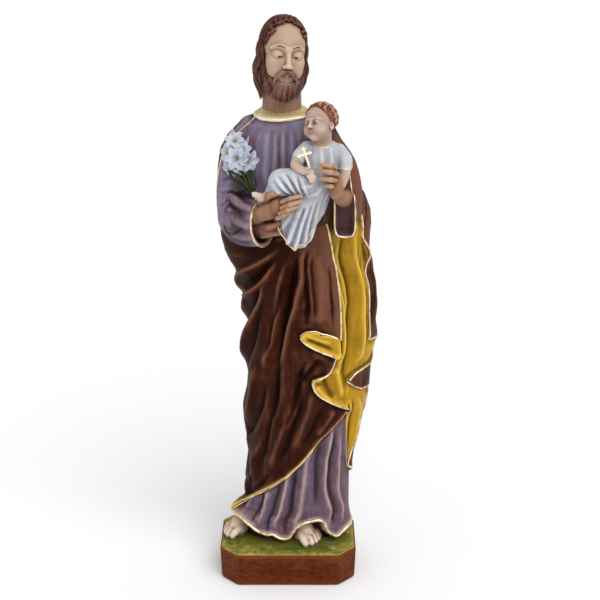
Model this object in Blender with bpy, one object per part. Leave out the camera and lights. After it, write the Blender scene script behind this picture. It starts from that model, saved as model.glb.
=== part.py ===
"""A devotional statue cast in one piece: a bearded saint in tunic and mantle who carries a child and lilies.

The figure is modelled as a signed distance, negative inside, on a regular block of points. Robes are a relief
wrapped round the body, limbs and hair are tapered tubes, heads and flesh are ellipsoids, and all of them melt
into one another as clay does. The surface is then drawn through the points and thinned to broad facets.

Figure units: one unit is a 566th of the figure's height, which is close to a millimetre at the size below. The grass
under the feet is z = 0, the viewer's right is +x and the back is +y.
"""
import math
from collections import namedtuple

import bpy
import numpy as np

# Driving dimensions, in metres
FIGURE_HEIGHT = 0.563
PLINTH_WIDTH = 0.147
PLINTH_DEPTH = 0.108
PLINTH_HEIGHT = 0.037
PLINTH_CORNER = 0.018
PLINTH_BACK_CORNER = 0.026
PLINTH_ROUNDING = 0.003

# The figure's own unit and how finely it is modelled
UNIT = FIGURE_HEIGHT / 566
GRAIN = 2.15
FACETS = 9400

FAR = 1000.0
Form = namedtuple("Form", "low high distance")

# Heights of the robed body with its leftmost, rightmost, front and back faces
BODY = np.array([
    (-9, -60, 75, -31, 46), (3, -62, 74.5, -31, 46), (12, -64, 73.5, -30, 46), (21, -65, 72, -30, 46),
    (28, -60, 71, -29.5, 46), (34, -52, 70.5, -29, 46), (41, -47.5, 70.5, -29, 46), (55, -44, 70.5, -29, 46),
    (70, -41, 70.5, -29, 46), (86, -40, 70.5, -30, 46), (100, -41, 72, -31, 46), (114, -41, 76.5, -32, 46),
    (142, -41, 82, -34, 46), (158, -42, 86.5, -35, 46), (184, -43.5, 87.5, -36, 46), (203, -44, 88.5, -37, 47),
    (225, -43.5, 95, -38, 47), (238, -42.5, 94.5, -38, 47), (265, -42, 90.5, -39, 48), (278, -42, 89, -39, 48),
    (292, -47.5, 88, -39, 48), (305, -51.5, 85, -39, 48), (317, -60, 84.5, -39, 48), (328, -65, 84.5, -39, 48), (344, -65.5, 85, -38, 48),
    (356, -64.5, 86, -38, 47), (369, -60, 85, -37, 46), (384, -57.5, 79.5, -36.5, 45), (396, -55.5, 72, -36, 45),
    (420, -53.5, 60, -34, 43),
    (436, -52, 53, -32, 41), (450, -48.5, 46, -29, 38), (458, -43, 39, -27, 35), (464, -36, 30, -25, 32),
    (467, -33, 26, -22, 31), (469, -30.5, 22.5, -18, 30), (472, -26.5, 18, -12, 28), (475, -20, 12, -4, 26),
    (477, -14, 6, 4, 22),
])
BODY_SQUARENESS = 2.35

# Where one cloth ends and another begins, seen from the front as x and height
CHEST = [(-26, 480), (-38, 463), (-50, 448), (-58, 430), (-62, 400), (-62, 352), (-50, 345), (-26, 346),
         (0, 352), (20, 357), (36, 366), (46, 400), (40, 440), (24, 480)]
COLLAR = [(-179.9, 474), (-135, 471), (-90, 466.5), (-45, 465), (0, 465), (45, 467), (90, 470.5), (135, 473), (179.9, 474)]
FRONT_EDGE = [(38, 366), (39.6, 360.7), (43, 340), (46.9, 321.6), (49.6, 300.6), (52.4, 276.6), (53.3, 252.2),
              (53.2, 242.5)]
LOWER_EDGE = [(49.8, 220.5), (49.9, 217.7), (47.9, 210.7), (42.8, 202.4), (32.4, 199.9), (25.9, 197.2),
              (24.7, 192.8), (27.3, 184.1), (33.8, 176.9), (43, 170.6), (54.9, 163.6), (61.6, 161)]
STRIP_EDGE = [(56, 399), (63, 398), (72, 374), (77, 352), (81.4, 325), (83.7, 290.7), (84, 264.8), (84.9, 235.5), (94.8, 230)]
CORNER = [(64.5, 193.8), (70.3, 200.5), (80, 204.5), (88, 207), (88, 221.3), (94.8, 226)]
LINING = FRONT_EDGE + LOWER_EDGE + [(64, 170)] + CORNER + STRIP_EDGE[::-1]
UPPER_FLAP = [(53.2, 241.7), (48.8, 243.7), (41.1, 247.4), (33.9, 247.5), (30.8, 251.7), (25.7, 250.9),
              (18.1, 250.9), (14.3, 246), (16.9, 240.5), (25.8, 233.8), (36.1, 228.2), (45.2, 223.7), (49.8, 220.5),
              (53.5, 224)]
TONGUE_EDGE = [(14.3, 246), (16.9, 240.5), (25.8, 233.8), (36.1, 228.2), (45.2, 223.7), (49.8, 220.5)]
BACK_LINING = [(64.5, 191), (70.6, 185.5), (79, 180), (86, 177), (86, 160), (78, 150), (79.5, 137), (78, 112),
               (73, 97), (66.5, 84), (65.5, 100), (65, 124), (63.5, 153)]
SKIRT_HEM = [(61.7, 158), (59.1, 154), (49.9, 143.3), (36.7, 129.5), (22.9, 110.9), (13.6, 97.4), (-0.7, 82),
             (-12.7, 71.5), (-32.3, 56), (-50, 36.3), (-62, 25.5)]
TUNIC_HEM = [(-64.5, 23), (-61, 24), (-52.8, 25), (-43.5, 18.6), (-34.3, 12.1), (-22.8, 8.9), (-17.9, 11.3),
             (-12, 7), (-7, 5.3), (-1, 5.5), (3.9, 8.7), (9.4, 19.4), (14.8, 24.6), (34, 27.8), (40.2, 23.7),
             (42.7, 13.9), (48, 8), (55, 4.1), (60, 7), (65, 11), (69, 13)]
TUNIC_HEM_BEHIND = [(105, 10), (140, 4), (179.9, 2)], [(-179.9, 2), (-140, 6), (-105, 20)]
SKIRT_HEM_BEHIND = [(100, 66), (135, 48), (179.9, 34)], [(-179.9, 34), (-135, 30), (-100, 28)]

# Folds: the line of each crest, how wide it is and how high, negative for a valley
TUNIC_FOLDS = [
    ([(25, 128), (21, 106), (17, 72), (11, 36), (8, 14)], 6.0, 6.4),
    ([(2, 90), (-1, 76), (-8, 41), (-14, 12)], 3.4, 5.4),
    ([(-20, 68), (-26, 42), (-31, 14)], 4.0, 4.6),
    ([(-36, 60), (-43, 42), (-54, 24)], 4.0, 3.6),
    ([(-10, 74), (-19, 42), (-23, 10)], 2.8, -4.4),
    ([(-28, 60), (-36, 36), (-44, 18)], 2.4, -3.6),
    ([(8, 92), (3, 56), (-2, 8)], 3.2, -5.2),
    ([(37, 128), (33, 84), (32, 40)], 5.0, -5.4),
    ([(48, 150), (46, 130), (41, 90), (40, 64), (46, 38), (54, 8)], 3.8, 5.6),
    ([(52, 146), (48, 100), (47.5, 66), (54, 34), (60, 12)], 2.8, -3.8),
    ([(58, 150), (55, 96), (54.5, 62), (60, 36), (67, 14)], 3.2, 4.8),
    ([(-27, 460), (-31, 430), (-33, 400)], 4.2, 1.4),
    ([(-19, 459), (-22, 430), (-25, 398)], 3.4, 1.7),
    ([(-12, 458), (-13, 430), (-15, 396)], 3.0, 1.2),
    ([(-4, 458), (-4, 430), (-4, 400)], 3.4, 1.7),
    ([(5, 458), (6, 430), (5, 410)], 3.0, 1.2),
    ([(13, 460), (14, 440), (14, 420)], 3.0, 1.4),
    ([(-15.5, 460), (-17, 430), (-20, 398)], 2.2, -1.5),
    ([(-8, 460), (-8, 430), (-9, 398)], 2.2, -1.3),
    ([(0.5, 460), (1, 432), (1, 404)], 2.2, -1.5),
]
MANTLE_FOLDS = [
    ([(15, 346), (9, 318), (3, 290), (-5, 243), (-16, 176), (-27, 108), (-36, 62)], 4.2, -10.0),
    ([(18, 346), (15, 318), (10, 290), (2, 256), (-8, 219), (-20, 178)], 4.6, 9.0),
    ([(3, 334), (-8, 286), (-16, 236), (-26, 200)], 4.0, 8.6),
    ([(-3, 312), (-13, 262), (-22, 214)], 2.6, -6.6),
    ([(34, 336), (32, 285), (33, 256)], 6.5, 6.4),
    ([(23, 342), (20, 297), (19, 256)], 3.6, -7.6),
    ([(28, 336), (26, 300), (27, 262)], 2.0, -3.6),
    ([(42, 330), (44, 290), (46, 254)], 2.6, -3.0),
    ([(-30, 214), (-36, 170), (-46, 128)], 5.0, 6.2),
    ([(-24, 198), (-32, 150), (-42, 112)], 2.8, -5.0),
    ([(-15, 174), (-27, 118), (-40, 72)], 6.0, 6.8),
    ([(6, 176), (-6, 128), (-18, 84)], 5.6, 6.0),
    ([(16, 184), (4, 136), (-10, 96)], 3.0, -4.6),
    ([(28, 196), (18, 150), (4, 108)], 6.0, 5.2),
    ([(38, 170), (26, 140), (14, 116)], 3.0, -2.8),
    ([(48, 166), (40, 148), (28, 130)], 4.0, 3.6),
    ([(20, 222), (8, 176), (-4, 136)], 3.6, -5.6),
    ([(36, 222), (24, 206), (12, 192)], 4.0, -5.0),
    ([(76, 352), (87, 300), (91, 244)], 3.0, 4.6),
    ([(72, 396), (79, 350), (86, 290), (88, 240)], 2.0, -3.2),
    ([(58, 436), (64, 410), (74, 380)], 3.5, 4.0),
    ([(50, 440), (56, 416), (66, 392)], 2.5, -3.0),
]
# Folds that run from the front round the viewer's left side: seen from the front, then by degrees round
MANTLE_SWEEPS = [
    ([(-2, 344), (-25, 324), (-46, 306)], [(-84, 292), (-112, 262), (-140, 240)], 3.6, 8.0),
    ([(-6, 336), (-26, 312), (-44, 294)], [(-86, 279), (-114, 250)], 2.4, -7.4),
    ([(-7, 328), (-26, 298), (-41, 279)], [(-88, 264), (-116, 232)], 3.4, 7.6),
    ([(-12, 318), (-30, 284), (-40, 262)], [(-88, 247), (-112, 222)], 2.4, -7.0),
    ([(-8, 332), (-20, 300), (-34, 258), (-42, 232)], [(-88, 214), (-116, 180)], 4.0, 8.2),
    ([(-14, 312), (-28, 268), (-38, 228), (-43, 206)], [(-92, 180), (-110, 150)], 2.6, -6.4),
    ([(-36, 196), (-42, 150)], [(-84, 112), (-96, 70), (-104, 40)], 5.0, 6.0),
    ([(-42, 128), (-46, 92)], [(-80, 60), (-92, 36)], 3.0, -4.6),
    ([(-30, 92), (-44, 60), (-58, 36)], [(-96, 28)], 4.0, 4.6),
    ([(-16, 88), (-34, 62), (-50, 42)], [(-84, 34)], 2.6, -4.0),
]
BACK_FOLDS = [
    ([(104, 420), (112, 330), (116, 220), (118, 90)], 4.5, 5.0), ([(122, 440), (128, 330), (132, 200), (134, 66)], 3.0, -5.0),
    ([(140, 450), (146, 340), (150, 220), (154, 56)], 5.5, 6.0), ([(158, 455), (160, 330), (164, 200), (168, 44)], 3.0, -6.0),
    ([(176, 455), (174, 330), (178, 200), (179.5, 40)], 4.5, 5.5), ([(-166, 455), (-166, 330), (-170, 200), (-172, 40)], 3.0, -5.0),
    ([(-154, 450), (-150, 330), (-154, 200), (-158, 40)], 5.5, 6.0), ([(-138, 440), (-136, 330), (-140, 200), (-146, 40)], 3.0, -5.5),
    ([(-122, 430), (-124, 330), (-128, 200), (-134, 40)], 4.5, 5.5),
]
LINING_FOLDS = [
    ([(46, 362), (54, 290), (59, 244), (53, 196)], 3.2, 6.6),
    ([(52, 350), (58, 290), (62, 244)], 1.8, -3.6),
    ([(62, 372), (68, 297), (67, 243), (62, 178)], 4.0, -9.0),
    ([(70, 378), (77, 290), (77, 233), (72, 206)], 3.6, 7.4),
    ([(78, 330), (81, 280), (81, 240)], 2.0, -4.0),
    ([(36, 200), (42, 188), (48, 174)], 3.6, -4.4),
    ([(29, 192), (36, 182), (46, 172)], 2.4, 3.2),
    ([(50, 212), (54, 196), (58, 172)], 3.0, 4.0),
    ([(18, 249), (30, 244), (46, 238)], 1.8, 2.2), ([(19, 244.5), (31, 238.5), (47, 231)], 1.5, -2.6),
    ([(76, 176), (76, 140), (70, 96)], 3.0, 3.6),
    ([(69, 176), (69, 130), (67, 92)], 2.0, -3.6),
]


def smooth_min(a, b, blend):
    """The lower of two distances, with the crease between them filled over the given width."""
    if blend <= 0:
        return np.minimum(a, b)
    share = np.clip(0.5 + 0.5 * (b - a) / blend, 0, 1)
    return b + (a - b) * share - blend * share * (1 - share)


def smooth_step(value):
    """0 below 0, 1 above 1, and an even rise between."""
    t = np.clip(value, 0, 1)
    return t * t * (3 - 2 * t)


def smooth_line(points, steps):
    """A Catmull-Rom curve through the points, with so many steps for each span."""
    p = np.array(points, float)
    ends = np.vstack([2 * p[0] - p[1], p, 2 * p[-1] - p[-2]])
    line = []
    for a, b, c, d in zip(ends, ends[1:], ends[2:], ends[3:]):
        for t in np.arange(steps) / steps:
            line.append(0.5 * (2 * b + (c - a) * t + (2 * a - 5 * b + 4 * c - d) * t * t
                               + (3 * b - a - 3 * c + d) * t ** 3))
    return np.array(line + [p[-1]])


def turned(yaw, roll, pitch):
    """Turns the face to the viewer's right, then tips the crown that way, then bows it, in degrees."""
    a, b, c = (math.radians(v) for v in (yaw, roll, pitch))
    about_z = np.array([(math.cos(a), -math.sin(a), 0), (math.sin(a), math.cos(a), 0), (0, 0, 1)])
    about_y = np.array([(math.cos(b), 0, math.sin(b)), (0, 1, 0), (-math.sin(b), 0, math.cos(b))])
    about_x = np.array([(1, 0, 0), (0, math.cos(c), -math.sin(c)), (0, math.sin(c), math.cos(c))])
    return about_z @ about_y @ about_x


def ellipsoid(centre, radii, turn=None):
    """A ball stretched along its own axes, which are the columns of turn."""
    centre, radii = np.array(centre, float), np.broadcast_to(np.array(radii, float), 3)
    turn = np.eye(3) if turn is None else turn
    reach = np.sqrt((turn ** 2) @ radii ** 2)

    def distance(x, y, z):
        p = (x - centre[0], y - centre[1], z - centre[2])
        own = [(turn[0, i] * p[0] + turn[1, i] * p[1] + turn[2, i] * p[2]) / radii[i] for i in range(3)]
        stretch = np.sqrt(own[0] ** 2 + own[1] ** 2 + own[2] ** 2)
        slope = np.sqrt((own[0] / radii[0]) ** 2 + (own[1] / radii[1]) ** 2 + (own[2] / radii[2]) ** 2)
        return stretch * (stretch - 1) / np.maximum(slope, 1e-6)

    return Form(centre - reach, centre + reach, distance)


def tube(points, radii, steps=3):
    """A rounded, tapering tube along a smooth line through the points."""
    line = smooth_line(points, steps)
    girths = np.interp(np.linspace(0, 1, len(line)), np.linspace(0, 1, len(radii)), radii)
    reach = girths.max()

    def distance(x, y, z):
        nearest = FAR
        for a, b, thick, thin in zip(line, line[1:], girths, girths[1:]):
            run = b - a
            p = (x - a[0], y - a[1], z - a[2])
            t = np.clip((p[0] * run[0] + p[1] * run[1] + p[2] * run[2]) / (run @ run), 0, 1)
            gap = np.sqrt((p[0] - t * run[0]) ** 2 + (p[1] - t * run[1]) ** 2 + (p[2] - t * run[2]) ** 2)
            nearest = np.minimum(nearest, gap - thick - t * (thin - thick))
        return nearest

    return Form(line.min(0) - reach, line.max(0) + reach, distance)


def block(centre, half, rounding, turn=None):
    """A box with rounded edges."""
    centre, half = np.array(centre, float), np.array(half, float)
    turn = np.eye(3) if turn is None else turn
    reach = np.abs(turn) @ half

    def distance(x, y, z):
        p = (x - centre[0], y - centre[1], z - centre[2])
        over = [np.abs(turn[0, i] * p[0] + turn[1, i] * p[1] + turn[2, i] * p[2]) - half[i] + rounding
                for i in range(3)]
        outside = np.sqrt(sum(np.maximum(o, 0) ** 2 for o in over))
        return outside + np.minimum(np.maximum(np.maximum(over[0], over[1]), over[2]), 0) - rounding

    return Form(centre - reach, centre + reach, distance)


def without(form, hollow, blend):
    """The form where the hollow isn't."""
    def distance(x, y, z):
        return -smooth_min(-form.distance(x, y, z), hollow.distance(x, y, z), blend)

    return Form(form.low, form.high, distance)


def behind(form, point, normal, rounding=0.6):
    """The part of the form that lies behind a plane."""
    point, normal = np.array(point, float), np.array(normal, float) / np.linalg.norm(normal)

    def distance(x, y, z):
        ahead = (x - point[0]) * normal[0] + (y - point[1]) * normal[1] + (z - point[2]) * normal[2]
        return -smooth_min(-form.distance(x, y, z), -ahead, rounding)

    return Form(form.low, form.high, distance)


def shrunk(form, wall):
    """The form with its surface drawn in by the thickness of a wall."""
    return Form(form.low, form.high, lambda x, y, z: form.distance(x, y, z) + wall)


class Pose:
    """Where a head sits, how it is turned and how tall it is: its points are shares of that height."""

    def __init__(self, origin, turn, height):
        self.origin, self.turn, self.height = np.array(origin, float), turn, height

    def at(self, point):
        return self.origin + self.turn @ (np.array(point, float) * self.height)

    def ball(self, point, radii):
        return ellipsoid(self.at(point), np.array(radii, float) * self.height, self.turn)

    def strand(self, points, radii, steps=3):
        return tube([self.at(p) for p in points], np.array(radii, float) * self.height, steps)


class Clay:
    """The distance to the whole form at each point of a regular block, built up form by form."""

    def __init__(self, low, high, grain):
        self.low, self.grain = np.array(low, float), grain
        counts = np.ceil((np.array(high, float) - self.low) / grain).astype(int) + 1
        self.axes = [self.low[i] + grain * np.arange(n) for i, n in enumerate(counts)]
        self.field = np.full(counts, FAR, np.float32)

    def window(self, form, margin):
        """The part of the block near a form, and its coordinates."""
        spans = [slice(*np.searchsorted(axis, (form.low[i] - margin, form.high[i] + margin)))
                 for i, axis in enumerate(self.axes)]
        shapes = ((-1, 1, 1), (1, -1, 1), (1, 1, -1))
        return tuple(spans), [self.axes[i][spans[i]].reshape(shapes[i]).astype(np.float32) for i in range(3)]

    def add(self, form, blend=0.0):
        spans, places = self.window(form, blend + 3 * self.grain)
        self.field[spans] = smooth_min(self.field[spans], form.distance(*places), blend)

    def front(self, line, depth=0.0):
        """A curve through the points, moved along y to lie so far under the front of the clay."""
        line = smooth_line(line, 4)
        for point in line:
            i, k = np.rint((point[[0, 2]] - self.low[[0, 2]]) / self.grain).astype(int)
            column = self.field[i, :, k]
            j = int((column < 0).argmax())
            if j:
                share = column[j - 1] / (column[j - 1] - column[j])
                point[1] = self.low[1] + (j - 1 + share) * self.grain + depth
        return line

    def cut(self, form, blend=0.0):
        spans, places = self.window(form, blend + 3 * self.grain)
        self.field[spans] = -smooth_min(-self.field[spans], form.distance(*places), blend)

    def close_corners(self):
        """Fills the few points that would let the surface touch itself at an edge or a corner."""
        for _ in range(12):
            solid = self.field < 0
            flips = np.zeros_like(solid)
            for i, j in ((0, 1), (0, 2), (1, 2)):
                a, b, c, d = (shifted(solid, {i: p, j: q}) for p, q in ((0, 0), (1, 0), (0, 1), (1, 1)))
                mark = (a & d & ~b & ~c) | (b & c & ~a & ~d)
                for p, q in ((0, 0), (1, 0), (0, 1), (1, 1)):
                    shifted(flips, {i: p, j: q})[...] |= mark
            corners = [(i, j, k) for i in (0, 1) for j in (0, 1) for k in (0, 1)]
            count = sum(shifted(solid, dict(enumerate(c))).astype(np.int8) for c in corners)
            for i, j, k in corners[:4]:
                near, far = shifted(solid, {0: i, 1: j, 2: k}), shifted(solid, {0: 1 - i, 1: 1 - j, 2: 1 - k})
                mark = (near & far & (count == 2)) | (~near & ~far & (count == 6))
                for c in corners:
                    shifted(flips, dict(enumerate(c)))[...] |= mark
            flips &= ~solid
            if not flips.any():
                return
            self.field[flips] = -0.05 * self.grain

    def surface(self):
        """Points and quads of a closed net, one point in each cell that the surface crosses."""
        solid = self.field < 0
        corners = [(i, j, k) for i in (0, 1) for j in (0, 1) for k in (0, 1)]
        count = sum(shifted(solid, dict(enumerate(c))).astype(np.int8) for c in corners)
        cells = np.argwhere((count > 0) & (count < 8))
        number = np.full(count.shape, -1, np.int64)
        number[tuple(cells.T)] = np.arange(len(cells))
        total, hits = np.zeros((len(cells), 3)), np.zeros(len(cells))
        for a in corners:
            for axis in range(3):
                if a[axis]:
                    continue
                b = tuple(a[i] + (i == axis) for i in range(3))
                at_a = self.field[tuple((cells + a).T)].astype(float)
                at_b = self.field[tuple((cells + b).T)].astype(float)
                crossed = (at_a < 0) != (at_b < 0)
                t = np.where(crossed, at_a / np.where(crossed, at_a - at_b, 1), 0)
                place = cells + np.array(a) + t[:, None] * (np.arange(3) == axis)
                total += place * crossed[:, None]
                hits += crossed
        points = self.low + self.grain * total / hits[:, None]
        quads = []
        for axis in range(3):
            u, v = (axis + 1) % 3, (axis + 2) % 3
            here, there = shifted(solid, {axis: 0}), shifted(solid, {axis: 1})
            inner = np.argwhere(here != there)
            inner = inner[(inner[:, u] > 0) & (inner[:, v] > 0)]
            around = []
            for back_u, back_v in ((0, 0), (1, 0), (1, 1), (0, 1)):
                cell = inner.copy()
                cell[:, u] -= back_u
                cell[:, v] -= back_v
                around.append(number[tuple(cell.T)])
            quad = np.stack(around, 1)
            outward = here[tuple(inner.T)]
            quads.append(np.where(outward[:, None], quad, quad[:, ::-1]))
        return points, np.vstack(quads)


def shifted(points, starts):
    """A view of the block one short along each axis named in starts, from the start given."""
    spans = [slice(None)] * 3
    for axis, start in starts.items():
        spans[axis] = slice(start, points.shape[axis] - 1 + start)
    return points[tuple(spans)]


class Sheet:
    """The cloth round the body laid out flat: levels up, lengths round, and a height of relief at each place."""

    def __init__(self, step):
        self.levels = np.arange(BODY[0, 0], BODY[-1, 0] + step, step)
        self.angles = np.linspace(-math.pi, math.pi, 2 * int(200 / step) + 1)
        left, right, front, back = (np.interp(self.levels, BODY[:, 0], BODY[:, i]) for i in (1, 2, 3, 4))
        self.middle = np.stack([(left + right) / 2, (front + back) / 2])
        self.half = np.stack([(right - left) / 2, (back - front) / 2])
        across, along = np.abs(np.sin(self.angles)), np.abs(np.cos(self.angles))
        power = BODY_SQUARENESS
        self.radius = ((across / self.half[0][:, None]) ** power
                       + (along / self.half[1][:, None]) ** power) ** (-1 / power)
        x, y = self.radius * np.sin(self.angles), -self.radius * np.cos(self.angles)
        run = np.hypot(np.diff(x, axis=1), np.diff(y, axis=1))
        length = np.hstack([np.zeros((len(run), 1)), np.cumsum(run, 1)])
        self.round = length - length[:, [len(self.angles) // 2]]
        self.up = np.broadcast_to(self.levels[:, None], self.round.shape)

    def place(self, angle, level):
        """The length round to a direction at a level."""
        row = int(np.clip(round((level - self.levels[0]) / (self.levels[1] - self.levels[0])), 0,
                          len(self.levels) - 1))
        return float(np.interp(angle, self.angles, self.round[row]))

    def lay(self, points):
        """Points seen from the front, as x and height, laid on the flat sheet."""
        laid = []
        for x, level in points:
            middle, half = (np.interp(level, self.levels, row) for row in (self.middle[0], self.half[0]))
            depth = np.interp(level, self.levels, self.half[1])
            share = np.clip((x - middle) / half, -0.999, 0.999)
            toward = depth * (1 - abs(share) ** BODY_SQUARENESS) ** (1 / BODY_SQUARENESS)
            laid.append((self.place(math.atan2(share * half, toward), level), level))
        return np.array(laid)

    def behind(self, points):
        """Points given as degrees round from the front, and height, laid on the flat sheet."""
        return np.array([(self.place(math.radians(angle), level), level) for angle, level in points])

    def near(self, line, margin):
        low, high = line.min(0) - margin, line.max(0) + margin
        rows = slice(*np.searchsorted(self.levels, (low[1], high[1])))
        inside = (self.round[rows] > low[0]) & (self.round[rows] < high[0])
        return rows, inside, self.round[rows][inside], self.up[rows][inside]

    def fold(self, relief, line, width, height, lean=0.0, fade=0.25, steps=4):
        """Raises a rounded crest along a line, or sinks a valley when the height is negative."""
        line = smooth_line(line, steps)
        rows, inside, s, z = self.near(line, 4.5 * width)
        best, side, along = np.full(s.shape, FAR), np.zeros(s.shape), np.zeros(s.shape)
        for i, (a, b) in enumerate(zip(line, line[1:])):
            run = b - a
            t = np.clip(((s - a[0]) * run[0] + (z - a[1]) * run[1]) / (run @ run), 0, 1)
            gap = np.hypot(s - a[0] - t * run[0], z - a[1] - t * run[1])
            closer = gap < best
            best = np.where(closer, gap, best)
            side = np.where(closer, np.sign(run[0] * (z - a[1]) - run[1] * (s - a[0])), side)
            along = np.where(closer, (i + t) / (len(line) - 1), along)
        spread = best / (width * (1 + lean * side))
        ends = smooth_step(along / fade) * smooth_step((1 - along) / fade) if fade else 1
        relief[rows][inside] += height * ends * np.exp(0.387 - np.sqrt(spread ** 2 + 0.15))

    def edge(self, line, reach):
        """1 on a line, falling away over the given reach."""
        line = smooth_line(line, 3)
        rows, inside, s, z = self.near(line, 5 * reach)
        best = np.full(s.shape, FAR)
        for a, b in zip(line, line[1:]):
            run = b - a
            t = np.clip(((s - a[0]) * run[0] + (z - a[1]) * run[1]) / (run @ run), 0, 1)
            best = np.minimum(best, np.hypot(s - a[0] - t * run[0], z - a[1] - t * run[1]))
        falling = np.zeros(self.round.shape)
        falling[rows][inside] = np.exp(-(best / reach) ** 1.5)
        return falling

    def region(self, corners):
        """How far inside a closed outline each place lies, negative outside it."""
        corners = np.array(corners)
        rows, inside, s, z = self.near(corners, 8)
        best, odd = np.full(s.shape, FAR), np.zeros(s.shape, bool)
        for a, b in zip(corners, np.roll(corners, -1, 0)):
            run = b - a
            t = np.clip(((s - a[0]) * run[0] + (z - a[1]) * run[1]) / (run @ run + 1e-9), 0, 1)
            best = np.minimum(best, np.hypot(s - a[0] - t * run[0], z - a[1] - t * run[1]))
            spans = (a[1] > z) != (b[1] > z)
            odd ^= spans & (s < a[0] + (z - a[1]) * run[0] / (run[1] if run[1] else 1e-9))
        depth = np.full(self.round.shape, -9.0)
        depth[rows][inside] = np.where(odd, best, -best)
        return depth

    def form(self, relief):
        """The robed body as a form, from the finished relief."""
        radius = self.radius + relief
        rise = np.gradient(radius, self.levels, axis=0)
        swing = np.gradient(radius, self.angles, axis=1) / np.maximum(radius, 1)
        slope = np.sqrt(1 + np.minimum(rise ** 2 + swing ** 2, 6))
        slope[:, 0] = slope[:, -1] = (slope[:, 1] + slope[:, -2]) / 2
        reach = radius.max() + 2
        low = np.array([self.middle[0].min() - reach, self.middle[1].min() - reach, self.levels[0]])
        high = np.array([self.middle[0].max() + reach, self.middle[1].max() + reach, self.levels[-1]])

        def distance(x, y, z):
            out = np.full(np.broadcast_shapes(x.shape, y.shape, z.shape), FAR, np.float32)
            for k in range(z.shape[2]):
                level = float(z[0, 0, k])
                if not self.levels[0] <= level <= self.levels[-1]:
                    continue
                step = (level - self.levels[0]) / (self.levels[1] - self.levels[0])
                row = min(int(step), len(self.levels) - 2)
                part = step - row
                mix = [table[row] * (1 - part) + table[row + 1] * part for table in (radius, slope)]
                right, back = (np.interp(level, self.levels, self.middle[i]) for i in (0, 1))
                dx, dy = x[:, :, 0] - right, y[:, :, 0] - back
                angle = np.arctan2(dx, -dy)
                reached, steep = (np.interp(angle, self.angles, m) for m in mix)
                out[:, :, k] = np.maximum((np.hypot(dx, dy) - reached) / steep, level - self.levels[-1] + 2)
            return out

        return Form(low, high, distance)


def blended(relief, other, depth, width=1.2):
    """The relief with another laid in where the depth inside its region is positive."""
    return relief + (other - relief) * smooth_step(0.5 + depth / width)


def robe(step):
    """The robed body, with the folds and edges of its cloths."""
    sheet = Sheet(step)
    tunic, mantle, lining = (np.zeros(sheet.round.shape) for _ in range(3))
    for relief, folds in ((tunic, TUNIC_FOLDS), (mantle, MANTLE_FOLDS), (lining, LINING_FOLDS)):
        for points, width, height in folds:
            sheet.fold(relief, sheet.lay(points), width, height)
    for front, back, width, height in MANTLE_SWEEPS:
        sheet.fold(mantle, np.vstack([sheet.lay(front), sheet.behind(back)]), width, height)
    for points, width, height in BACK_FOLDS:
        sheet.fold(mantle, sheet.behind(points), width, height)
    behind = smooth_step((np.abs(sheet.angles) - 1.7) / 0.5)
    sway = 0.5 * np.sin(sheet.levels / 70)[:, None] + 0.35 * np.sin(sheet.levels / 31)[:, None]
    mantle += 2.6 * behind * (0.4 - np.abs(np.sin(7.5 * sheet.angles + sway)) ** 0.8)
    tunic += 4.0 * behind * (0.4 - np.abs(np.sin(9.5 * sheet.angles + 2 * sway)) ** 0.8)
    mantle += 5.0 * sheet.edge(sheet.lay(FRONT_EDGE), 8)
    mantle += 2.4 * sheet.edge(sheet.lay(SKIRT_HEM), 5)
    tunic += 2.6 * sheet.edge(sheet.lay(TUNIC_HEM), 6)
    tongue = 3.0 + lining + 4.0 * sheet.edge(sheet.lay(TONGUE_EDGE), 6)
    lining += 7.0 * sheet.edge(sheet.lay(LOWER_EDGE[4:]), 9)

    skirt = np.vstack([sheet.lay(SKIRT_HEM[::-1]), sheet.lay([(64, 153), (65, 124), (66, 84)]),
                       sheet.behind(SKIRT_HEM_BEHIND[0] + [(179.9, -9), (-179.9, -9)] + SKIRT_HEM_BEHIND[1])])
    hem = np.vstack([sheet.lay(TUNIC_HEM), sheet.behind(TUNIC_HEM_BEHIND[0] + [(179.9, -12), (-179.9, -12)]
                                                        + TUNIC_HEM_BEHIND[1])])
    collar = np.vstack([sheet.behind(COLLAR), sheet.behind([(179.9, 486), (-179.9, 486)])])
    for line in (skirt, hem, collar):
        line[:, 0] *= np.where(np.abs(line[:, 0]) > 0.97 * np.abs(line[:, 0]).max(), 1.25, 1)
    skirt, chest, hem = (sheet.region(line) for line in (skirt, sheet.lay(CHEST), hem))
    turned_back = [sheet.region(sheet.lay(line)) for line in (LINING, BACK_LINING, UPPER_FLAP)]
    relief = blended(mantle, tunic - 3.6, skirt)
    relief = blended(relief, tunic - 3.6, chest)
    relief = blended(relief, lining - 3.0, turned_back[0])
    relief = blended(relief, lining - 3.0, turned_back[1])
    relief = blended(relief, tongue, turned_back[2])
    relief = blended(relief, np.full(relief.shape, -15.0), hem)
    collar = sheet.region(collar)
    relief = blended(relief, np.full(relief.shape, 0.6), collar)
    seam = 0.5 * smooth_step((np.abs(sheet.angles) - 2.75) / 0.35)
    relief = relief * (1 - seam) + relief[:, ::-1] * seam
    return sheet.form(relief)


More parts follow.
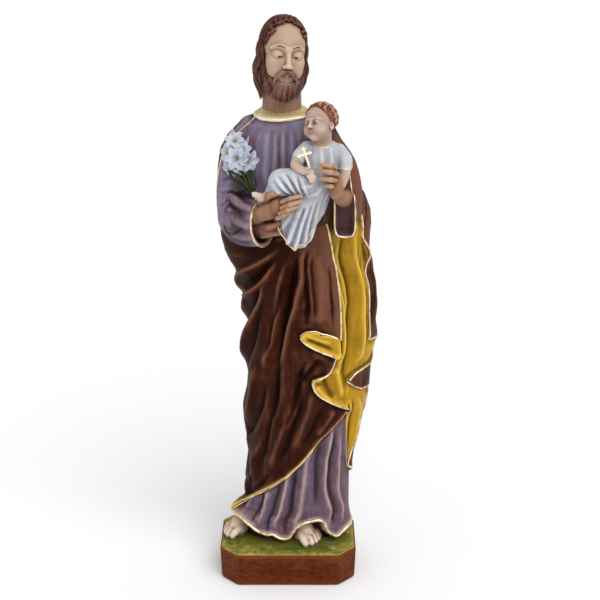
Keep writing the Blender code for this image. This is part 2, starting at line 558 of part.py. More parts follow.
def plinth():
    """An octagonal block under the feet, a little narrower at the bottom, its top the grass."""
    width, depth, height, corner, back_corner, rounding = (size / UNIT for size in (
        PLINTH_WIDTH, PLINTH_DEPTH, PLINTH_HEIGHT, PLINTH_CORNER, PLINTH_BACK_CORNER, PLINTH_ROUNDING))

    def distance(x, y, z):
        taper = 0.035 * np.maximum(-z, 0)
        across, along = np.abs(x) - width / 2 + taper, np.abs(y) - depth / 2 + taper
        cut = np.where(y < 0, corner, back_corner)
        slant = (across + along + cut) / math.sqrt(2)
        side = smooth_min(-smooth_min(-across, -along, 2.0), FAR, 0)
        side = -smooth_min(-side, -slant, 2.0)
        level = np.maximum(z, -z - height)
        return -smooth_min(-side, -level, rounding)

    low = (-width / 2 - 1, -depth / 2 - 1, -height - 1)
    return Form(np.array(low), np.array((width / 2 + 1, depth / 2 + 1, 1.0)), distance)


def add_foot(clay, place, side, toe_out, size):
    """A bare foot whose toes point forward; side is +1 when the great toe is on the viewer's left."""
    foot = Pose(place, turned(toe_out, 0, 0), size)
    clay.add(foot.strand([(0, 16, 17), (0, 3, 14), (-side, -9, 8.4)], [12, 12, 8.4]), 3)
    clay.add(foot.ball((0, -8, 5), (13, 12, 6.6)), 3)
    clay.add(foot.ball((-2 * side, 2, 9), (11, 11, 9)), 3)
    toes = [(-9.0, -25, 4.3), (-2.8, -27, 3.5), (2.8, -25.4, 3.3), (7.6, -22.2, 3.1), (11.6, -18.2, 2.8)]
    for across, tip, girth in toes:
        across *= side
        clay.add(foot.strand([(0.75 * across, -4, 9.5), (0.9 * across, -12, 8), (across, tip + 6, 6), (across, tip + 2.6, 3.4)],
                             [girth, 1.05 * girth, girth, 0.85 * girth], 2), 1.8)
    for (a, tip, girth), (b, other, next_girth) in zip(toes, toes[1:]):
        between = side * (a + girth + b - next_girth) / 2
        clay.cut(foot.strand([(0.88 * between, -9, 13), (0.96 * between, -16, 10.6), (between, max(tip, other) - 0.5, 6)],
                             [0.1, 0.45, 0.7]), 0.5)


def add_body(clay):
    """Robes, plinth, feet, sleeves and the child's gown."""
    clay.add(robe(max(1.0, 0.75 * clay.grain)), 0)
    clay.add(plinth(), 1.0)
    add_foot(clay, (16, -9, 0), 1, 29, 1.04)
    add_foot(clay, (-52, 4, 0), -1, -46, 0.92)

    clay.add(tube([(-36, 14, 450), (-50, 12, 425), (-52, 6, 378), (-50, 2, 345)], [14, 18.5, 20, 18]), 5)
    clay.add(tube([(38, 10, 446), (47, 6, 420), (56, -2, 394), (56, -18, 388)], [12, 17, 17, 14]), 5)
    clay.add(tube([(46, -6, 440), (58, -14, 420), (64, -20, 396), (64.5, -22, 372)], [9, 11, 11, 9]), 5)
    clay.add(tube([(-34, 6, 452), (-46, 2, 428), (-50, -6, 392), (-47, -12, 366)], [13, 18, 21, 23]), 3)
    clay.add(tube([(-46, -14, 368), (-42, -26, 368)], [22, 20]), 4)
    bell, cuff = left_sleeve()
    clay.add(behind(bell, *cuff, 0.8), 4)
    for points, girth in (([(-66, -2, 380), (-58, -27, 375), (-48, -47, 371), (-39, -60, 369)], 4.2),
                          ([(-64, -4, 362), (-55, -28, 357), (-46, -46, 355), (-36, -59, 357)], 4.0),
                          ([(-58, -4, 348), (-48, -24, 345), (-40, -38, 346), (-31, -49, 349)], 3.4),
                          ([(-63, 0, 402), (-57, -21, 393), (-47, -42, 387), (-36, -55, 385)], 4.0),
                          ([(-34, -10, 410), (-42, -22, 401), (-53, -26, 393), (-60, -24, 384)], 3.8),
                          ([(-59, 2, 424), (-56, -12, 415), (-46, -22, 409), (-37, -24, 405)], 3.6)):
        clay.add(tube(points, [0.5 * girth, girth, girth, 0.7 * girth]), 4)
    clay.cut(behind(shrunk(bell, 2.2), cuff[0] - 9 * cuff[1], -cuff[1], 0.3), 0.6)
    clay.add(tube([(-30, -44, 362), (-18, -52, 364), (-6, -54, 368)], [9, 9, 8]), 3)
    clay.add(tube([(-24, -54, 357), (-16, -58, 361), (-6, -60, 362)], [2.5, 3.5, 2.5]), 1.5)
    clay.add(tube([(-26, -52, 366), (-17, -60, 368), (-8, -62, 372)], [2.5, 3.5, 2.5]), 1.5)
    sleeve = block((57, -42, 376), (11.0, 15, 21.5), 6)
    hollow = block((57, -60, 378), (9.6, 14, 20.2), 5)
    clay.add(without(sleeve, hollow, 1.2), 2)

    clay.add(ellipsoid((35, -48, 434), (22, 14, 19), turned(0, 8, 0)), 2)
    clay.add(tube([(33, -48, 430), (28, -52, 410), (22, -52, 396)], [17, 17, 15]), 3)
    clay.add(tube([(50, -47, 440), (55, -50, 433), (56, -52, 427)], [8, 8.5, 7.5]), 2)
    clay.add(tube([(20, -50, 443), (13, -56, 438), (11, -60, 434)], [8, 7, 6]), 2)
    clay.add(tube([(26, -54, 407), (10, -62, 414), (-5, -67, 415)], [15, 13, 12.5]), 2)
    clay.add(tube([(-5, -66, 415), (-11, -64, 408), (-15, -63, 404)], [11.5, 8, 5.5]), 2)
    clay.add(tube([(24, -52, 404), (14, -56, 384), (9, -54, 360)], [15, 14, 9]), 3)
    clay.add(tube([(32, -50, 402), (27, -50, 384), (21, -48, 366)], [12, 11, 7]), 2)
    clay.add(ellipsoid((9, -56, 376), (19, 8.5, 31), turned(0, -9, 0)), 4)
    clay.add(ellipsoid((-2, -57, 377), (9, 6, 12), turned(0, 24, 0)), 3)
    for line, girth in (([(14, -66, 396), (4, -65, 380), (-6, -60, 366)], 2.2),
                        ([(17, -66, 394), (8, -65.5, 372), (1, -61, 352)], 2.4),
                        ([(22, -66, 394), (14, -65.5, 370), (8, -60, 346)], 2.4),
                        ([(27, -65, 396), (21, -63.5, 374), (17, -57, 350)], 2.3),
                        ([(33, -63, 398), (28, -60, 380), (25, -54, 362)], 2.2),
                        ([(40, -61, 402), (34, -58, 390), (29, -54, 374)], 2.0)):
        clay.add(tube(line, [0.5 * girth, girth, 0.9 * girth]), 2.4)
    for line, girth in (([(10, -69, 390), (2, -68, 374), (-3, -62, 356)], 1.5),
                        ([(17, -69, 388), (11, -68.5, 370), (5, -63, 344)], 1.5),
                        ([(24, -68.5, 390), (18, -67, 370), (13, -61, 344)], 1.6),
                        ([(30, -66.5, 392), (25, -64, 374), (21, -58, 350)], 1.4)):
        clay.cut(tube(line, [0.4 * girth, girth, 1.3 * girth]), 2.0)
    # folds that run from the knees down across the lap, and from the waist over the thigh
    for line, girth in (([(-13, 0, 414), (-8, 0, 407), (0, 0, 401)], 1.5), ([(-10, 0, 421), (-3, 0, 412), (4, 0, 403)], 1.8),
                        ([(-3, 0, 424), (3, 0, 414), (9, 0, 403)], 1.8), ([(6, 0, 423), (10, 0, 413), (14, 0, 403)], 1.7),
                        ([(15, 0, 419), (17, 0, 410), (20, 0, 402)], 1.5)):
        spots = clay.front(line, 0.8)
        clay.add(tube(spots, np.interp(np.linspace(0, 1, len(spots)), (0, 0.5, 1), (0.5, girth, 0.8)), 1), 1.6)
    for line, girth in (([(-12, 0, 418), (-6, 0, 410), (2, 0, 402)], 1.0), ([(-7, 0, 423), (0, 0, 413), (6.5, 0, 403)], 1.2),
                        ([(1, 0, 424), (6.5, 0, 414), (11.5, 0, 403)], 1.2), ([(11, 0, 422), (13.5, 0, 411), (17, 0, 402)], 1.0)):
        spots = clay.front(line, 0.0)
        clay.cut(tube(spots, np.interp(np.linspace(0, 1, len(spots)), (0, 0.5, 1), (0.3, girth, 0.6)), 1), 1.6)
    for line, girth in (([(24, 0, 446), (21, 0, 434), (24, 0, 420)], 1.4), ([(33, 0, 446), (34, 0, 434), (33, 0, 418)], 1.6),
                        ([(42, 0, 445), (43, 0, 434), (41, 0, 422)], 1.4), ([(30, 0, 417), (23, 0, 412), (14, 0, 411)], 1.4),
                        ([(35, 0, 412), (29, 0, 404), (21, 0, 401)], 1.5)):
        spots = clay.front(line, 0.9)
        clay.add(tube(spots, np.interp(np.linspace(0, 1, len(spots)), (0, 0.5, 1), (0.4, girth, 0.5)), 1), 2.4)
    # creases of the sleeve at the elbow
    for line, girth in (([(-66, 0, 392), (-57, 0, 396), (-46, 0, 393)], 1.5), ([(-64, 0, 405), (-56, 0, 408), (-47, 0, 404)], 1.2),
                        ([(-60, 0, 353), (-52, 0, 357), (-44, 0, 365)], 1.1), ([(-64, 0, 362), (-58, 0, 352), (-50, 0, 348)], 1.1),
                        ([(-66, 0, 380), (-60, 0, 384), (-50, 0, 381)], 1.0)):
        spots = clay.front(line, 0.0)
        clay.cut(tube(spots, np.interp(np.linspace(0, 1, len(spots)), (0, 0.5, 1), (0.3, girth, 0.4)), 1), 2.4)


def left_sleeve():
    """The wide sleeve on the viewer's left, with the middle of its mouth and the way the mouth faces."""
    mouth, way = np.array((-24.5, -50.0, 369.0)), np.array((0.80, -0.60, 0.10))
    way /= np.linalg.norm(way)
    bell = tube([(-46, -16, 367), (-36, -35, 367), (-18, -56, 369)], [21, 18.5, 17])
    return Form(bell.low - 6, bell.high + 6, stretched(bell.distance, 369, 1.30)), (mouth, way)


def stretched(distance, level, ratio):
    """A distance for the same form made taller about a level."""
    return lambda x, y, z: distance(x, y, level + (z - level) / ratio)


def add_finger(clay, root, tip, girth, bow):
    """A finger from its knuckle to its tip, bent at the middle joint, with a nail."""
    root, tip = np.array(root, float), np.array(tip, float)
    joint, last = root + (tip - root) * 0.46 + bow, root + (tip - root) * 0.78 + np.array(bow) * 0.72
    clay.add(tube([root, joint, last, tip], [girth, 0.98 * girth, 0.86 * girth, 0.7 * girth], 2), 0.5)
    clay.add(ellipsoid(joint + np.array(bow) * 0.04, 1.04 * girth), 0.8)


def add_hands(clay):
    """Both of the man's hands, and the child's arms, foot and little cross."""
    clay.add(tube([(-40, -34, 370), (-31, -50, 377), (-23, -60, 382.5)], [9, 9, 8]), 1)
    clay.add(ellipsoid((-15, -66, 387.5), (14, 7, 9), turned(0, -32, 0)), 4)
    clay.add(ellipsoid((-8, -69.5, 389.5), (7.5, 5.5, 9.5), turned(0, -24, 0)), 2)
    for tip, root, girth in (((13.8, -75, 402.6), (-4, -73, 396.5), 2.7), ((13.4, -77, 398), (-4, -75, 391), 2.8),
                             ((10.6, -77.5, 393.2), (-6, -75, 385.8), 2.7), ((5.4, -76, 387.6), (-8.5, -73.5, 381), 2.4)):
        add_finger(clay, root, tip, girth, (0, -2.4, 1.2))
    clay.add(tube([(-23, -62, 393), (-17, -69, 401.5), (-11, -72, 405), (-4.5, -73, 406.4)], [4.6, 3.7, 3.3, 2.5], 3), 1.2)
    clay.add(tube([(59, -22, 389), (57, -40, 391.5), (53, -58, 397), (48, -67, 404)], [9, 9, 7.6, 7]), 1.5)
    clay.add(ellipsoid((46.5, -70, 414), (7.5, 6.5, 14), turned(0, -10, 0)), 3)
    for tip, root, girth in (((32, -75, 433.4), (46, -73, 430), 2.8), ((32.6, -77, 428.2), (47, -75, 424.6), 3.0),
                             ((33.6, -77, 420.6), (46.5, -75, 418.4), 2.9), ((36, -75, 413.2), (45, -73.5, 412), 2.6)):
        add_finger(clay, root, tip, girth, (1.0, -4.4, 1.2))
    clay.add(tube([(56, -50, 432), (56, -54, 420), (52, -60, 410)], [5.8, 5.6, 5]), 1)
    clay.add(tube([(11, -58, 436), (9, -66, 431), (14, -70, 427.5), (20, -71.5, 426)], [5.4, 5.2, 4.4, 3.7]), 1)
    clay.add(ellipsoid((22.5, -72.5, 424.8), (4.4, 3, 4)), 1)
    for k, (tip_x, tip_z) in enumerate(((28.2, 421.5), (27, 418.8), (25, 417), (22.6, 416.4))):
        clay.add(tube([(23.6 - 1.1 * k, -74.4, 425 - 0.9 * k), (26.2 - 1.2 * k, -76.2, 422.6 - 0.9 * k), (tip_x, -75, tip_z)],
                      [1.5, 1.45, 1.1], 2), 0.25)
    clay.add(tube([(19, -73, 429), (22, -75, 431)], [1.6, 1.2]), 0.5)
    clay.add(tube([(-13, -63, 404), (-20, -66, 400.4), (-25, -67, 399)], [4.6, 4.2, 4.0]), 1)
    clay.add(tube([(-21.5, -66, 398), (-26, -68, 401), (-31, -68.5, 402.5)], [3.6, 3.4, 2.4]), 1)
    for k in range(4):
        clay.add(tube([(-29 + 0.5 * k, -69 + 0.4 * k, 404.5 - 1.9 * k), (-32.4 + 0.9 * k, -69.5 + 0.4 * k, 404.4 - 2.0 * k)],
                      [1.25 - 0.1 * k, 1.15 - 0.1 * k]), 0.3)
    clay.add(tube([(21.4, -74.5, 433), (16, -75.5, 449)], [1.15, 1.15]), 0.2)
    clay.add(tube([(11.6, -75.5, 441.5), (22.4, -75, 445)], [1.1, 1.1]), 0.2)
    for tip in ((16, -75.5, 449), (11.6, -75.5, 441.5), (22.4, -75, 445)):
        clay.add(ellipsoid(tip, 1.75), 0.3)


# Blooms: where, which way they face, and how long their petals are
BLOOMS = [
    ((-48.5, -32, 430), (-0.15, -1, 0.15), 13), ((-39.5, -32, 429), (0.6, -1, -0.1), 12),
    ((-54, -27, 434.5), (-0.8, -0.8, 0.3), 11), ((-50, -25, 443.5), (-0.3, -0.8, 0.9), 11.5),
    ((-52.5, -29, 422), (-0.6, -0.9, -0.5), 10.5), ((-44, -31, 437.5), (0.35, -0.9, 0.6), 9.5),
    ((-45, -32, 422), (0.25, -1, -0.6), 9.5),
]
# Stems, leaves and buds: a path, and how wide each is
LEAVES = [
    ([(-34, -39, 398), (-42, -37, 408), (-52, -33, 416), (-61, -27, 416)], 4.4),
    ([(-35, -38, 400), (-41, -36, 412), (-46, -33, 421), (-48, -29, 429)], 3.8),
    ([(-33, -40, 399), (-36, -37, 409), (-38, -35, 420), (-42, -32, 428)], 2.6),
    ([(-36, -39, 397), (-45, -38, 403), (-54, -34, 411), (-58, -30, 421)], 3.6),
    ([(-34, -40, 397), (-30, -38, 404), (-31, -36, 413)], 2.2),
    ([(-42, -30, 424), (-47, -28, 436), (-52, -22, 446)], 1.2),
]
BUDS = [([(-43, -27, 436), (-40, -27, 443), (-36.8, -26, 451)], 2.5), ([(-52, -23, 446), (-53, -22, 452), (-52.6, -21, 458)], 2.2)]


def add_lily(clay, place, turn, size):
    """An open bloom: six broad petals round a throat."""
    bloom = Pose(place, turn, size)
    clay.add(bloom.strand([(0, 0.8, -0.5), (0, 0.1, 0)], [0.2, 0.42]), 1)
    for k in range(6):
        a = math.radians(60 * k + 15)
        out = np.array([math.cos(a), 0, math.sin(a)])
        reach = 1.15 if k % 2 else 1.0
        clay.add(bloom.strand([0.15 * out, (0, -0.38, 0) + 0.62 * out, (0, -0.34, 0) + reach * out],
                              [0.2, 0.34, 0.13]), 0.5)


def add_lilies(clay):
    """The bunch of lilies in the crook of the arm: blooms, buds and leaves round a core of clay."""
    clay.add(tube([(-34, -38, 398), (-42, -32, 411), (-49, -24, 427)], [4.5, 6, 9]), 2)
    for place, way, size in BLOOMS:
        across, ahead, up = np.array(way) / np.linalg.norm(way)
        turn = turned(math.degrees(math.atan2(across, -ahead)), 0, -math.degrees(math.asin(up)))
        add_lily(clay, place, turn, 0.86 * size)
    for line, width in LEAVES:
        clay.add(tube(line, [1.5] + [max(1.5, 0.62 * width)] * (len(line) - 2) + [1.2]), 1)
    for line, width in BUDS:
        clay.add(tube(line, [1.8, width, 1.4]), 1)


def over(centre, radii, round_degrees, down_degrees):
    """The place on an ellipsoid so far round from the face and so far down from the crown."""
    a, d = math.radians(round_degrees), math.radians(down_degrees)
    return (centre[0] + radii[0] * math.sin(a) * math.sin(d), centre[1] - radii[1] * math.cos(a) * math.sin(d),
            centre[2] + radii[2] * math.cos(d))


def add_head(clay, head):
    """A grown head, bearded, its hair to the neck; points are for a head 74 units tall."""
    clay.add(head.ball((0, 3, 9), (21.4, 28, 26)), 0)
    clay.add(head.ball((0, -6, -7), (18.4, 20.2, 26)), 5)
    clay.add(head.ball((0, -13, -28), (9.5, 10, 9)), 5)
    for side in (-1, 1):
        clay.add(head.ball((12 * side, -15.2, -6), (6.2, 7.8, 7)), 4)
        clay.add(head.ball((9 * side, -14.5, -14), (8, 8.5, 9)), 4)
        clay.add(head.strand([(15.5 * side, -18.3, 6.6), (9.6 * side, -23.6, 8.6), (3 * side, -25, 7)],
                             [1.4, 2.0, 1.6]), 3)
        clay.cut(head.ball((8.6 * side, -28, 0.6), (6.4, 5.2, 4.2)), 3)
        clay.add(head.ball((8.6 * side, -18.2, 1), (6.5, 6.5, 6.2)), 0.8)
    clay.add(head.strand([(0, -24.4, 6.5), (0, -27, -0.5), (0, -30.4, -8.6)], [2.0, 2.2, 3.0]), 2.4)
    clay.add(head.strand([(-3.1, -27.7, -10.2), (3.1, -27.7, -10.2)], [2.2, 2.2]), 1.2)
    clay.add(head.strand([(-4, -24.2, -18.4), (0, -26, -18.8), (4, -24.2, -18.4)], [1.0, 1.8, 1.0]), 0.8)
    for side in (-1, 1):
        clay.add(head.strand([(20 * side, 2, 2), (18.4 * side, -4, -10), (15.8 * side, -9, -21),
                              (11.5 * side, -12.5, -31), (0, -15.5, -36)], [2.0, 3.4, 5.0, 6.6, 7.8]), 2)
        tops = smooth_line([(19 * side, -6, -8), (14 * side, -16.8, -20), (9 * side, -21.6, -24.2),
                            (0.8 * side, -24.6, -26.4)], 3)
        tips = smooth_line([(19 * side, 0, -20), (14.8 * side, -8.5, -37), (10.4 * side, -12.5, -41.5),
                            (0.8 * side, -16, -45.4)], 3)
        for top, tip in zip(tops, tips):
            middle = (top + tip) / 2
            clay.add(head.strand([top, middle * (1 + 3.2 / np.linalg.norm(middle)), tip], [1.5, 2.3, 1.2]), 0.8)
        clay.add(head.strand([(0.7 * side, -28, -14), (4.6 * side, -27.2, -15.2), (8.4 * side, -24.8, -18.4),
                              (11 * side, -21.6, -25)], [1.2, 1.9, 1.9, 1.2]), 0.6)
    middle, radii = (0, 5.0, 11.0), (22.2, 28, 26.4)
    brow, brow_radii = (0, -24, 9.5), np.array((20.8, 20, 26.4))
    clay.add(without(head.ball(middle, radii), ellipsoid(head.at(brow), brow_radii, head.turn), 1.2), 0.4)
    for k in range(12):
        at = 36 * k / 1.1 + 8
        last = 34 if abs((at + 180) % 360 - 180) < 50 else 90
        clay.add(head.strand([over(middle, radii, at + 6 * math.sin(2.1 * k + 5 * t), 8 + (last - 8) * t)
                              for t in (0, 0.3, 0.6, 1)], [1.4, 2.2, 2.2, 1.2]), 0.8)
    for k in range(9):
        at = -60 + 15 * k
        clay.add(head.ball(over(middle, radii, at, 30 + 0.0085 * at * at), (3.4, 3.4, 3.2)), 1.0)
    for k in range(15):
        at = math.radians(66 + 228 * k / 14)
        side = np.array((math.sin(at), -math.cos(at)))
        drop = 41 + (0, 3, 1)[k % 3]
        line = []
        for t in np.linspace(0, 1, 9):
            out = 1.0 + 0.10 * math.sin(math.pi * min(1, 0.85 * t)) - 0.17 * t ** 3
            sway = 1.5 * math.sin(12 * t + 1.1 * k)
            line.append((side[0] * 21.9 * out - side[1] * sway, 5.5 + side[1] * 26.3 * out + side[0] * sway,
                         12 - (12 + drop) * t))
        clay.add(head.strand(line, [1.6, 2.8, 3.3, 3.4, 3.4, 3.3, 3.0, 2.4, 1.3], 2), 0.9)


def add_child_head(clay, head):
    """A small child's head, round and short-haired; points are for a head 74 units tall."""
    clay.add(head.ball((0, 4, 8), (26, 30, 27)), 1)
    clay.add(head.ball((0, -6, -9), (21.5, 20, 23)), 3)
    clay.add(head.ball((0, -17, -27), (7, 7, 6)), 3)
    for side in (-1, 1):
        clay.add(head.ball((11.5 * side, -15, -14), (9.5, 9, 9.5)), 3)
        clay.cut(head.ball((9.6 * side, -28.5, -2), (6, 5.5, 4)), 2)
        clay.add(head.ball((9.6 * side, -19, -2), (6.3, 6.3, 6.3)), 0.8)
        clay.add(head.ball((24 * side, 4, -6), (3.8, 5.6, 7.8)), 1)
    clay.add(head.strand([(0, -25, 1), (0, -29.5, -8)], [2, 3.4]), 1.5)
    clay.add(head.strand([(-3.4, -25, -19), (0, -26.6, -19.2), (3.4, -25, -19)], [1, 2, 1]), 1)
    middle, radii = (0, 7.5, 11.5), (28, 30, 28.6)
    clay.add(head.ball(middle, radii), 0.5)
    for k in range(18):
        at = -170 + 20 * k
        if abs(at) < 25:
            continue
        first, reach = (12, 40) if abs(at) < 70 else (12, 96)
        wave = 7 * math.sin(2.4 * k)
        clay.add(head.strand([over(middle, radii, at + wave * (share > 0.4), first + reach * share)
                              for share in (0, 0.3, 0.6, 0.85, 1)], [2.0, 3.6, 4.2, 3.8, 2.0]), 1)


def sculpt(grain):
    """The whole statue as clay, in figure units."""
    height = PLINTH_HEIGHT / UNIT
    half_width, half_depth = (0.5 * size / UNIT + 3 * grain for size in (PLINTH_WIDTH, PLINTH_DEPTH))
    clay = Clay((-max(half_width, 78), -max(half_depth, 92), -height - 3 * grain),
                (max(half_width, 102), max(half_depth, 62), 568 + 3 * grain), grain)
    add_body(clay)
    clay.add(tube([(-5, 8, 456), (-5, 5, 478), (-4, 0, 500)], [21, 19.5, 18]), 2)
    add_head(clay, Pose((-3.5, -8, 527.5), turned(12, 6, -4), 1))
    clay.add(tube([(34, -49, 442), (34, -49, 458)], [9, 9.5]), 2)
    add_child_head(clay, Pose((31.5, -51, 467.5), turned(-34, -16, -20), 0.535))
    add_hands(clay)
    add_lilies(clay)
    clay.close_corners()
    return clay


def largest(points, quads):
    """The points and quads of the biggest piece of the net, should any crumb lie loose."""
    owner = np.arange(len(points))
    while True:
        low = owner[quads].min(1)
        lowest = owner.copy()
        for corner in range(4):
            np.minimum.at(lowest, quads[:, corner], low)
        lowest = lowest[lowest]
        if (lowest == owner).all():
            break
        owner = lowest
    names, counts = np.unique(owner, return_counts=True)
    keep = owner == names[counts.argmax()]
    index = np.cumsum(keep) - 1
    return points[keep], index[quads[keep[quads[:, 0]]]]


def plaster(name, colour):
    """Painted plaster: matt, hardly any shine."""
    material = bpy.data.materials.new(name)
    material.use_nodes = True
    shader = material.node_tree.nodes["Principled BSDF"]
    shader.inputs["Base Color"].default_value = colour
    shader.inputs["Roughness"].default_value = 0.55
    return material


def main():
    for thing in list(bpy.data.objects):
        bpy.data.objects.remove(thing)
    points, quads = largest(*sculpt(GRAIN).surface())
    points = points * UNIT + (0, 0, PLINTH_HEIGHT)
    mesh = bpy.data.meshes.new("statue")
    mesh.from_pydata(points.tolist(), [], quads.tolist())
    mesh.update()
    statue = bpy.data.objects.new("statue", mesh)
    bpy.context.scene.collection.objects.link(statue)
    mesh.materials.append(plaster("painted plaster", (0.17, 0.055, 0.028, 1)))
    thin = statue.modifiers.new("Broad facets", "DECIMATE")
    thin.ratio = FACETS / (2 * len(quads))


main()
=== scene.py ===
"""Painted plaster statue: a bearded saint with a child and lilies, on an octagonal plinth.

The figure is modelled as clay, a signed distance on a block of points, then drawn as a net and painted by
where each colour was brushed on. Clay is in figure units: a millimetre at full size, z = 0 at the grass.
"""

import math
from collections import namedtuple

import bpy
import numpy as np
from bpy.props import FloatProperty, FloatVectorProperty, IntProperty, PointerProperty
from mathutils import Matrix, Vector
from mathutils.bvhtree import BVHTree


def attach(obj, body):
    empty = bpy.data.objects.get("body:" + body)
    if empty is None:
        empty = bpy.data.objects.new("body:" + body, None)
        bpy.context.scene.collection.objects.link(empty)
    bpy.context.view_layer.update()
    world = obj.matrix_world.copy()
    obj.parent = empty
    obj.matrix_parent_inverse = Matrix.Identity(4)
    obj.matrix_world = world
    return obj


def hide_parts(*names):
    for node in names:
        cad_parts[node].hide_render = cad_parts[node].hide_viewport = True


bl_info = {
    "name": "Painted Plaster Saint",
    "version": (1, 0, 0),
    "blender": (4, 5, 0),
    "location": "View3D > Sidebar > Statue",
    "description": "Sculpts, gilds and paints a plaster statue with a child and lilies",
    "category": "Object",
}

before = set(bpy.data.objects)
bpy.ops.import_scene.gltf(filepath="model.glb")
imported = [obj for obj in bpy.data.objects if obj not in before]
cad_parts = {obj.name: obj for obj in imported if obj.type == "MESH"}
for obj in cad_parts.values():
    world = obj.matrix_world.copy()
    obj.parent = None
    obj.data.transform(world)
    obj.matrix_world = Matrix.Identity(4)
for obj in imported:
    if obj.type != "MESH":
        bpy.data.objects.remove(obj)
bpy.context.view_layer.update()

FAR = 1000.0
Form = namedtuple("Form", "low high distance")
# The crown's height, then how far the tunic, the lining and the hollow under the hem lie below the mantle,
# and how far the collar stands out, in figure units
CROWN, TUNIC_DEPTH, LINING_DEPTH, HEM_DEPTH, COLLAR_RISE = 566, 3.6, 3.0, 15.0, 0.6

# Heights of the robed body with its leftmost, rightmost, front and back faces
BODY = np.array([
    (-9, -60, 75, -31, 46), (3, -62, 74.5, -31, 46), (12, -64, 73.5, -30, 46), (21, -65, 72, -30, 46),
    (28, -60, 71, -29.5, 46), (34, -52, 70.5, -29, 46), (41, -47.5, 70.5, -29, 46),
    (55, -44, 70.5, -29, 46), (70, -41, 70.5, -29, 46), (86, -40, 70.5, -30, 46), (100, -41, 72, -31, 46),
    (114, -41, 76.5, -32, 46), (142, -41, 82, -34, 46), (158, -42, 86.5, -35, 46),
    (184, -43.5, 87.5, -36, 46), (203, -44, 88.5, -37, 47), (225, -43.5, 95, -38, 47),
    (238, -42.5, 94.5, -38, 47), (265, -42, 90.5, -39, 48), (278, -42, 89, -39, 48),
    (292, -47.5, 88, -39, 48), (305, -51.5, 85, -39, 48), (317, -60, 84.5, -39, 48),
    (328, -65, 84.5, -39, 48), (344, -65.5, 85, -38, 48), (356, -64.5, 86, -38, 47),
    (369, -60, 85, -37, 46), (384, -57.5, 79.5, -36.5, 45), (396, -55.5, 72, -36, 45),
    (420, -53.5, 60, -34, 43), (436, -52, 53, -32, 41), (450, -48.5, 46, -29, 38), (458, -43, 39, -27, 35),
    (464, -36, 30, -25, 32), (467, -33, 26, -22, 31), (469, -30.5, 22.5, -18, 30),
    (472, -26.5, 18, -12, 28), (475, -20, 12, -4, 26), (477, -14, 6, 4, 22),
])
BODY_SQUARENESS = 2.35

# Where one cloth ends and another begins, seen from the front as x and height
CHEST = [(-26, 480), (-38, 463), (-50, 448), (-58, 430), (-62, 400), (-62, 352), (-50, 345), (-26, 346),
         (0, 352), (20, 357), (36, 366), (46, 400), (40, 440), (24, 480)]
FRONT_EDGE = [(38, 366), (39.6, 360.7), (43, 340), (46.9, 321.6), (49.6, 300.6), (52.4, 276.6),
              (53.3, 252.2), (53.2, 242.5)]
LOWER_EDGE = [(49.8, 220.5), (49.9, 217.7), (47.9, 210.7), (42.8, 202.4), (32.4, 199.9), (25.9, 197.2),
              (24.7, 192.8), (27.3, 184.1), (33.8, 176.9), (43, 170.6), (54.9, 163.6), (61.6, 161)]
STRIP_EDGE = [(56, 399), (63, 398), (72, 374), (77, 352), (81.4, 325), (83.7, 290.7), (84, 264.8),
              (84.9, 235.5)]
CORNER = [(64.5, 193.8), (70.3, 200.5), (80, 204.5)]
UPPER_FLAP = [(53.2, 241.7), (48.8, 243.7), (41.1, 247.4), (33.9, 247.5), (30.8, 251.7), (25.7, 250.9),
              (18.1, 250.9), (14.3, 246), (16.9, 240.5), (25.8, 233.8), (36.1, 228.2), (45.2, 223.7),
              (49.8, 220.5), (53.5, 224)]
TONGUE_EDGE = UPPER_FLAP[7:13]
BACK_LINING = [(66.5, 84), (65.5, 100), (65, 124), (63.5, 153), (64.5, 191), (70.6, 185.5), (79, 180)]
SKIRT_HEM = [(61.7, 158), (59.1, 154), (49.9, 143.3), (36.7, 129.5), (22.9, 110.9), (13.6, 97.4),
             (-0.7, 82), (-12.7, 71.5), (-32.3, 56), (-50, 36.3), (-62, 25.5)]
TUNIC_HEM = [(-64.5, 23), (-61, 24), (-52.8, 25), (-43.5, 18.6), (-34.3, 12.1), (-22.8, 8.9), (-17.9, 11.3),
             (-12, 7), (-7, 5.3), (-1, 5.5), (3.9, 8.7), (9.4, 19.4), (14.8, 24.6), (34, 27.8),
             (40.2, 23.7), (42.7, 13.9), (48, 8), (55, 4.1), (60, 7), (65, 11), (69, 13)]
# The same for the sides and the back, as degrees round from the front and height
COLLAR = [(-179.9, 474), (-135, 471), (-90, 466.5), (-45, 465), (0, 465), (45, 467), (90, 470.5),
          (135, 473), (179.9, 474)]
CORNER_BEHIND = [(82, 206), (92, 209), (98, 215), (98, 222), (94, 229), (84, 233), (76, 234.5)]
BACK_LINING_BEHIND = [(83, 178), (91, 172), (95, 161), (92, 148), (93, 136), (91, 121), (85, 106), (77, 94)]
TUNIC_HEM_BEHIND = [(105, 10), (140, 4), (179.9, 2)], [(-179.9, 2), (-140, 6), (-105, 20)]
SKIRT_HEM_BEHIND = [(100, 66), (135, 48), (179.9, 34)], [(-179.9, 34), (-135, 30), (-100, 28)]

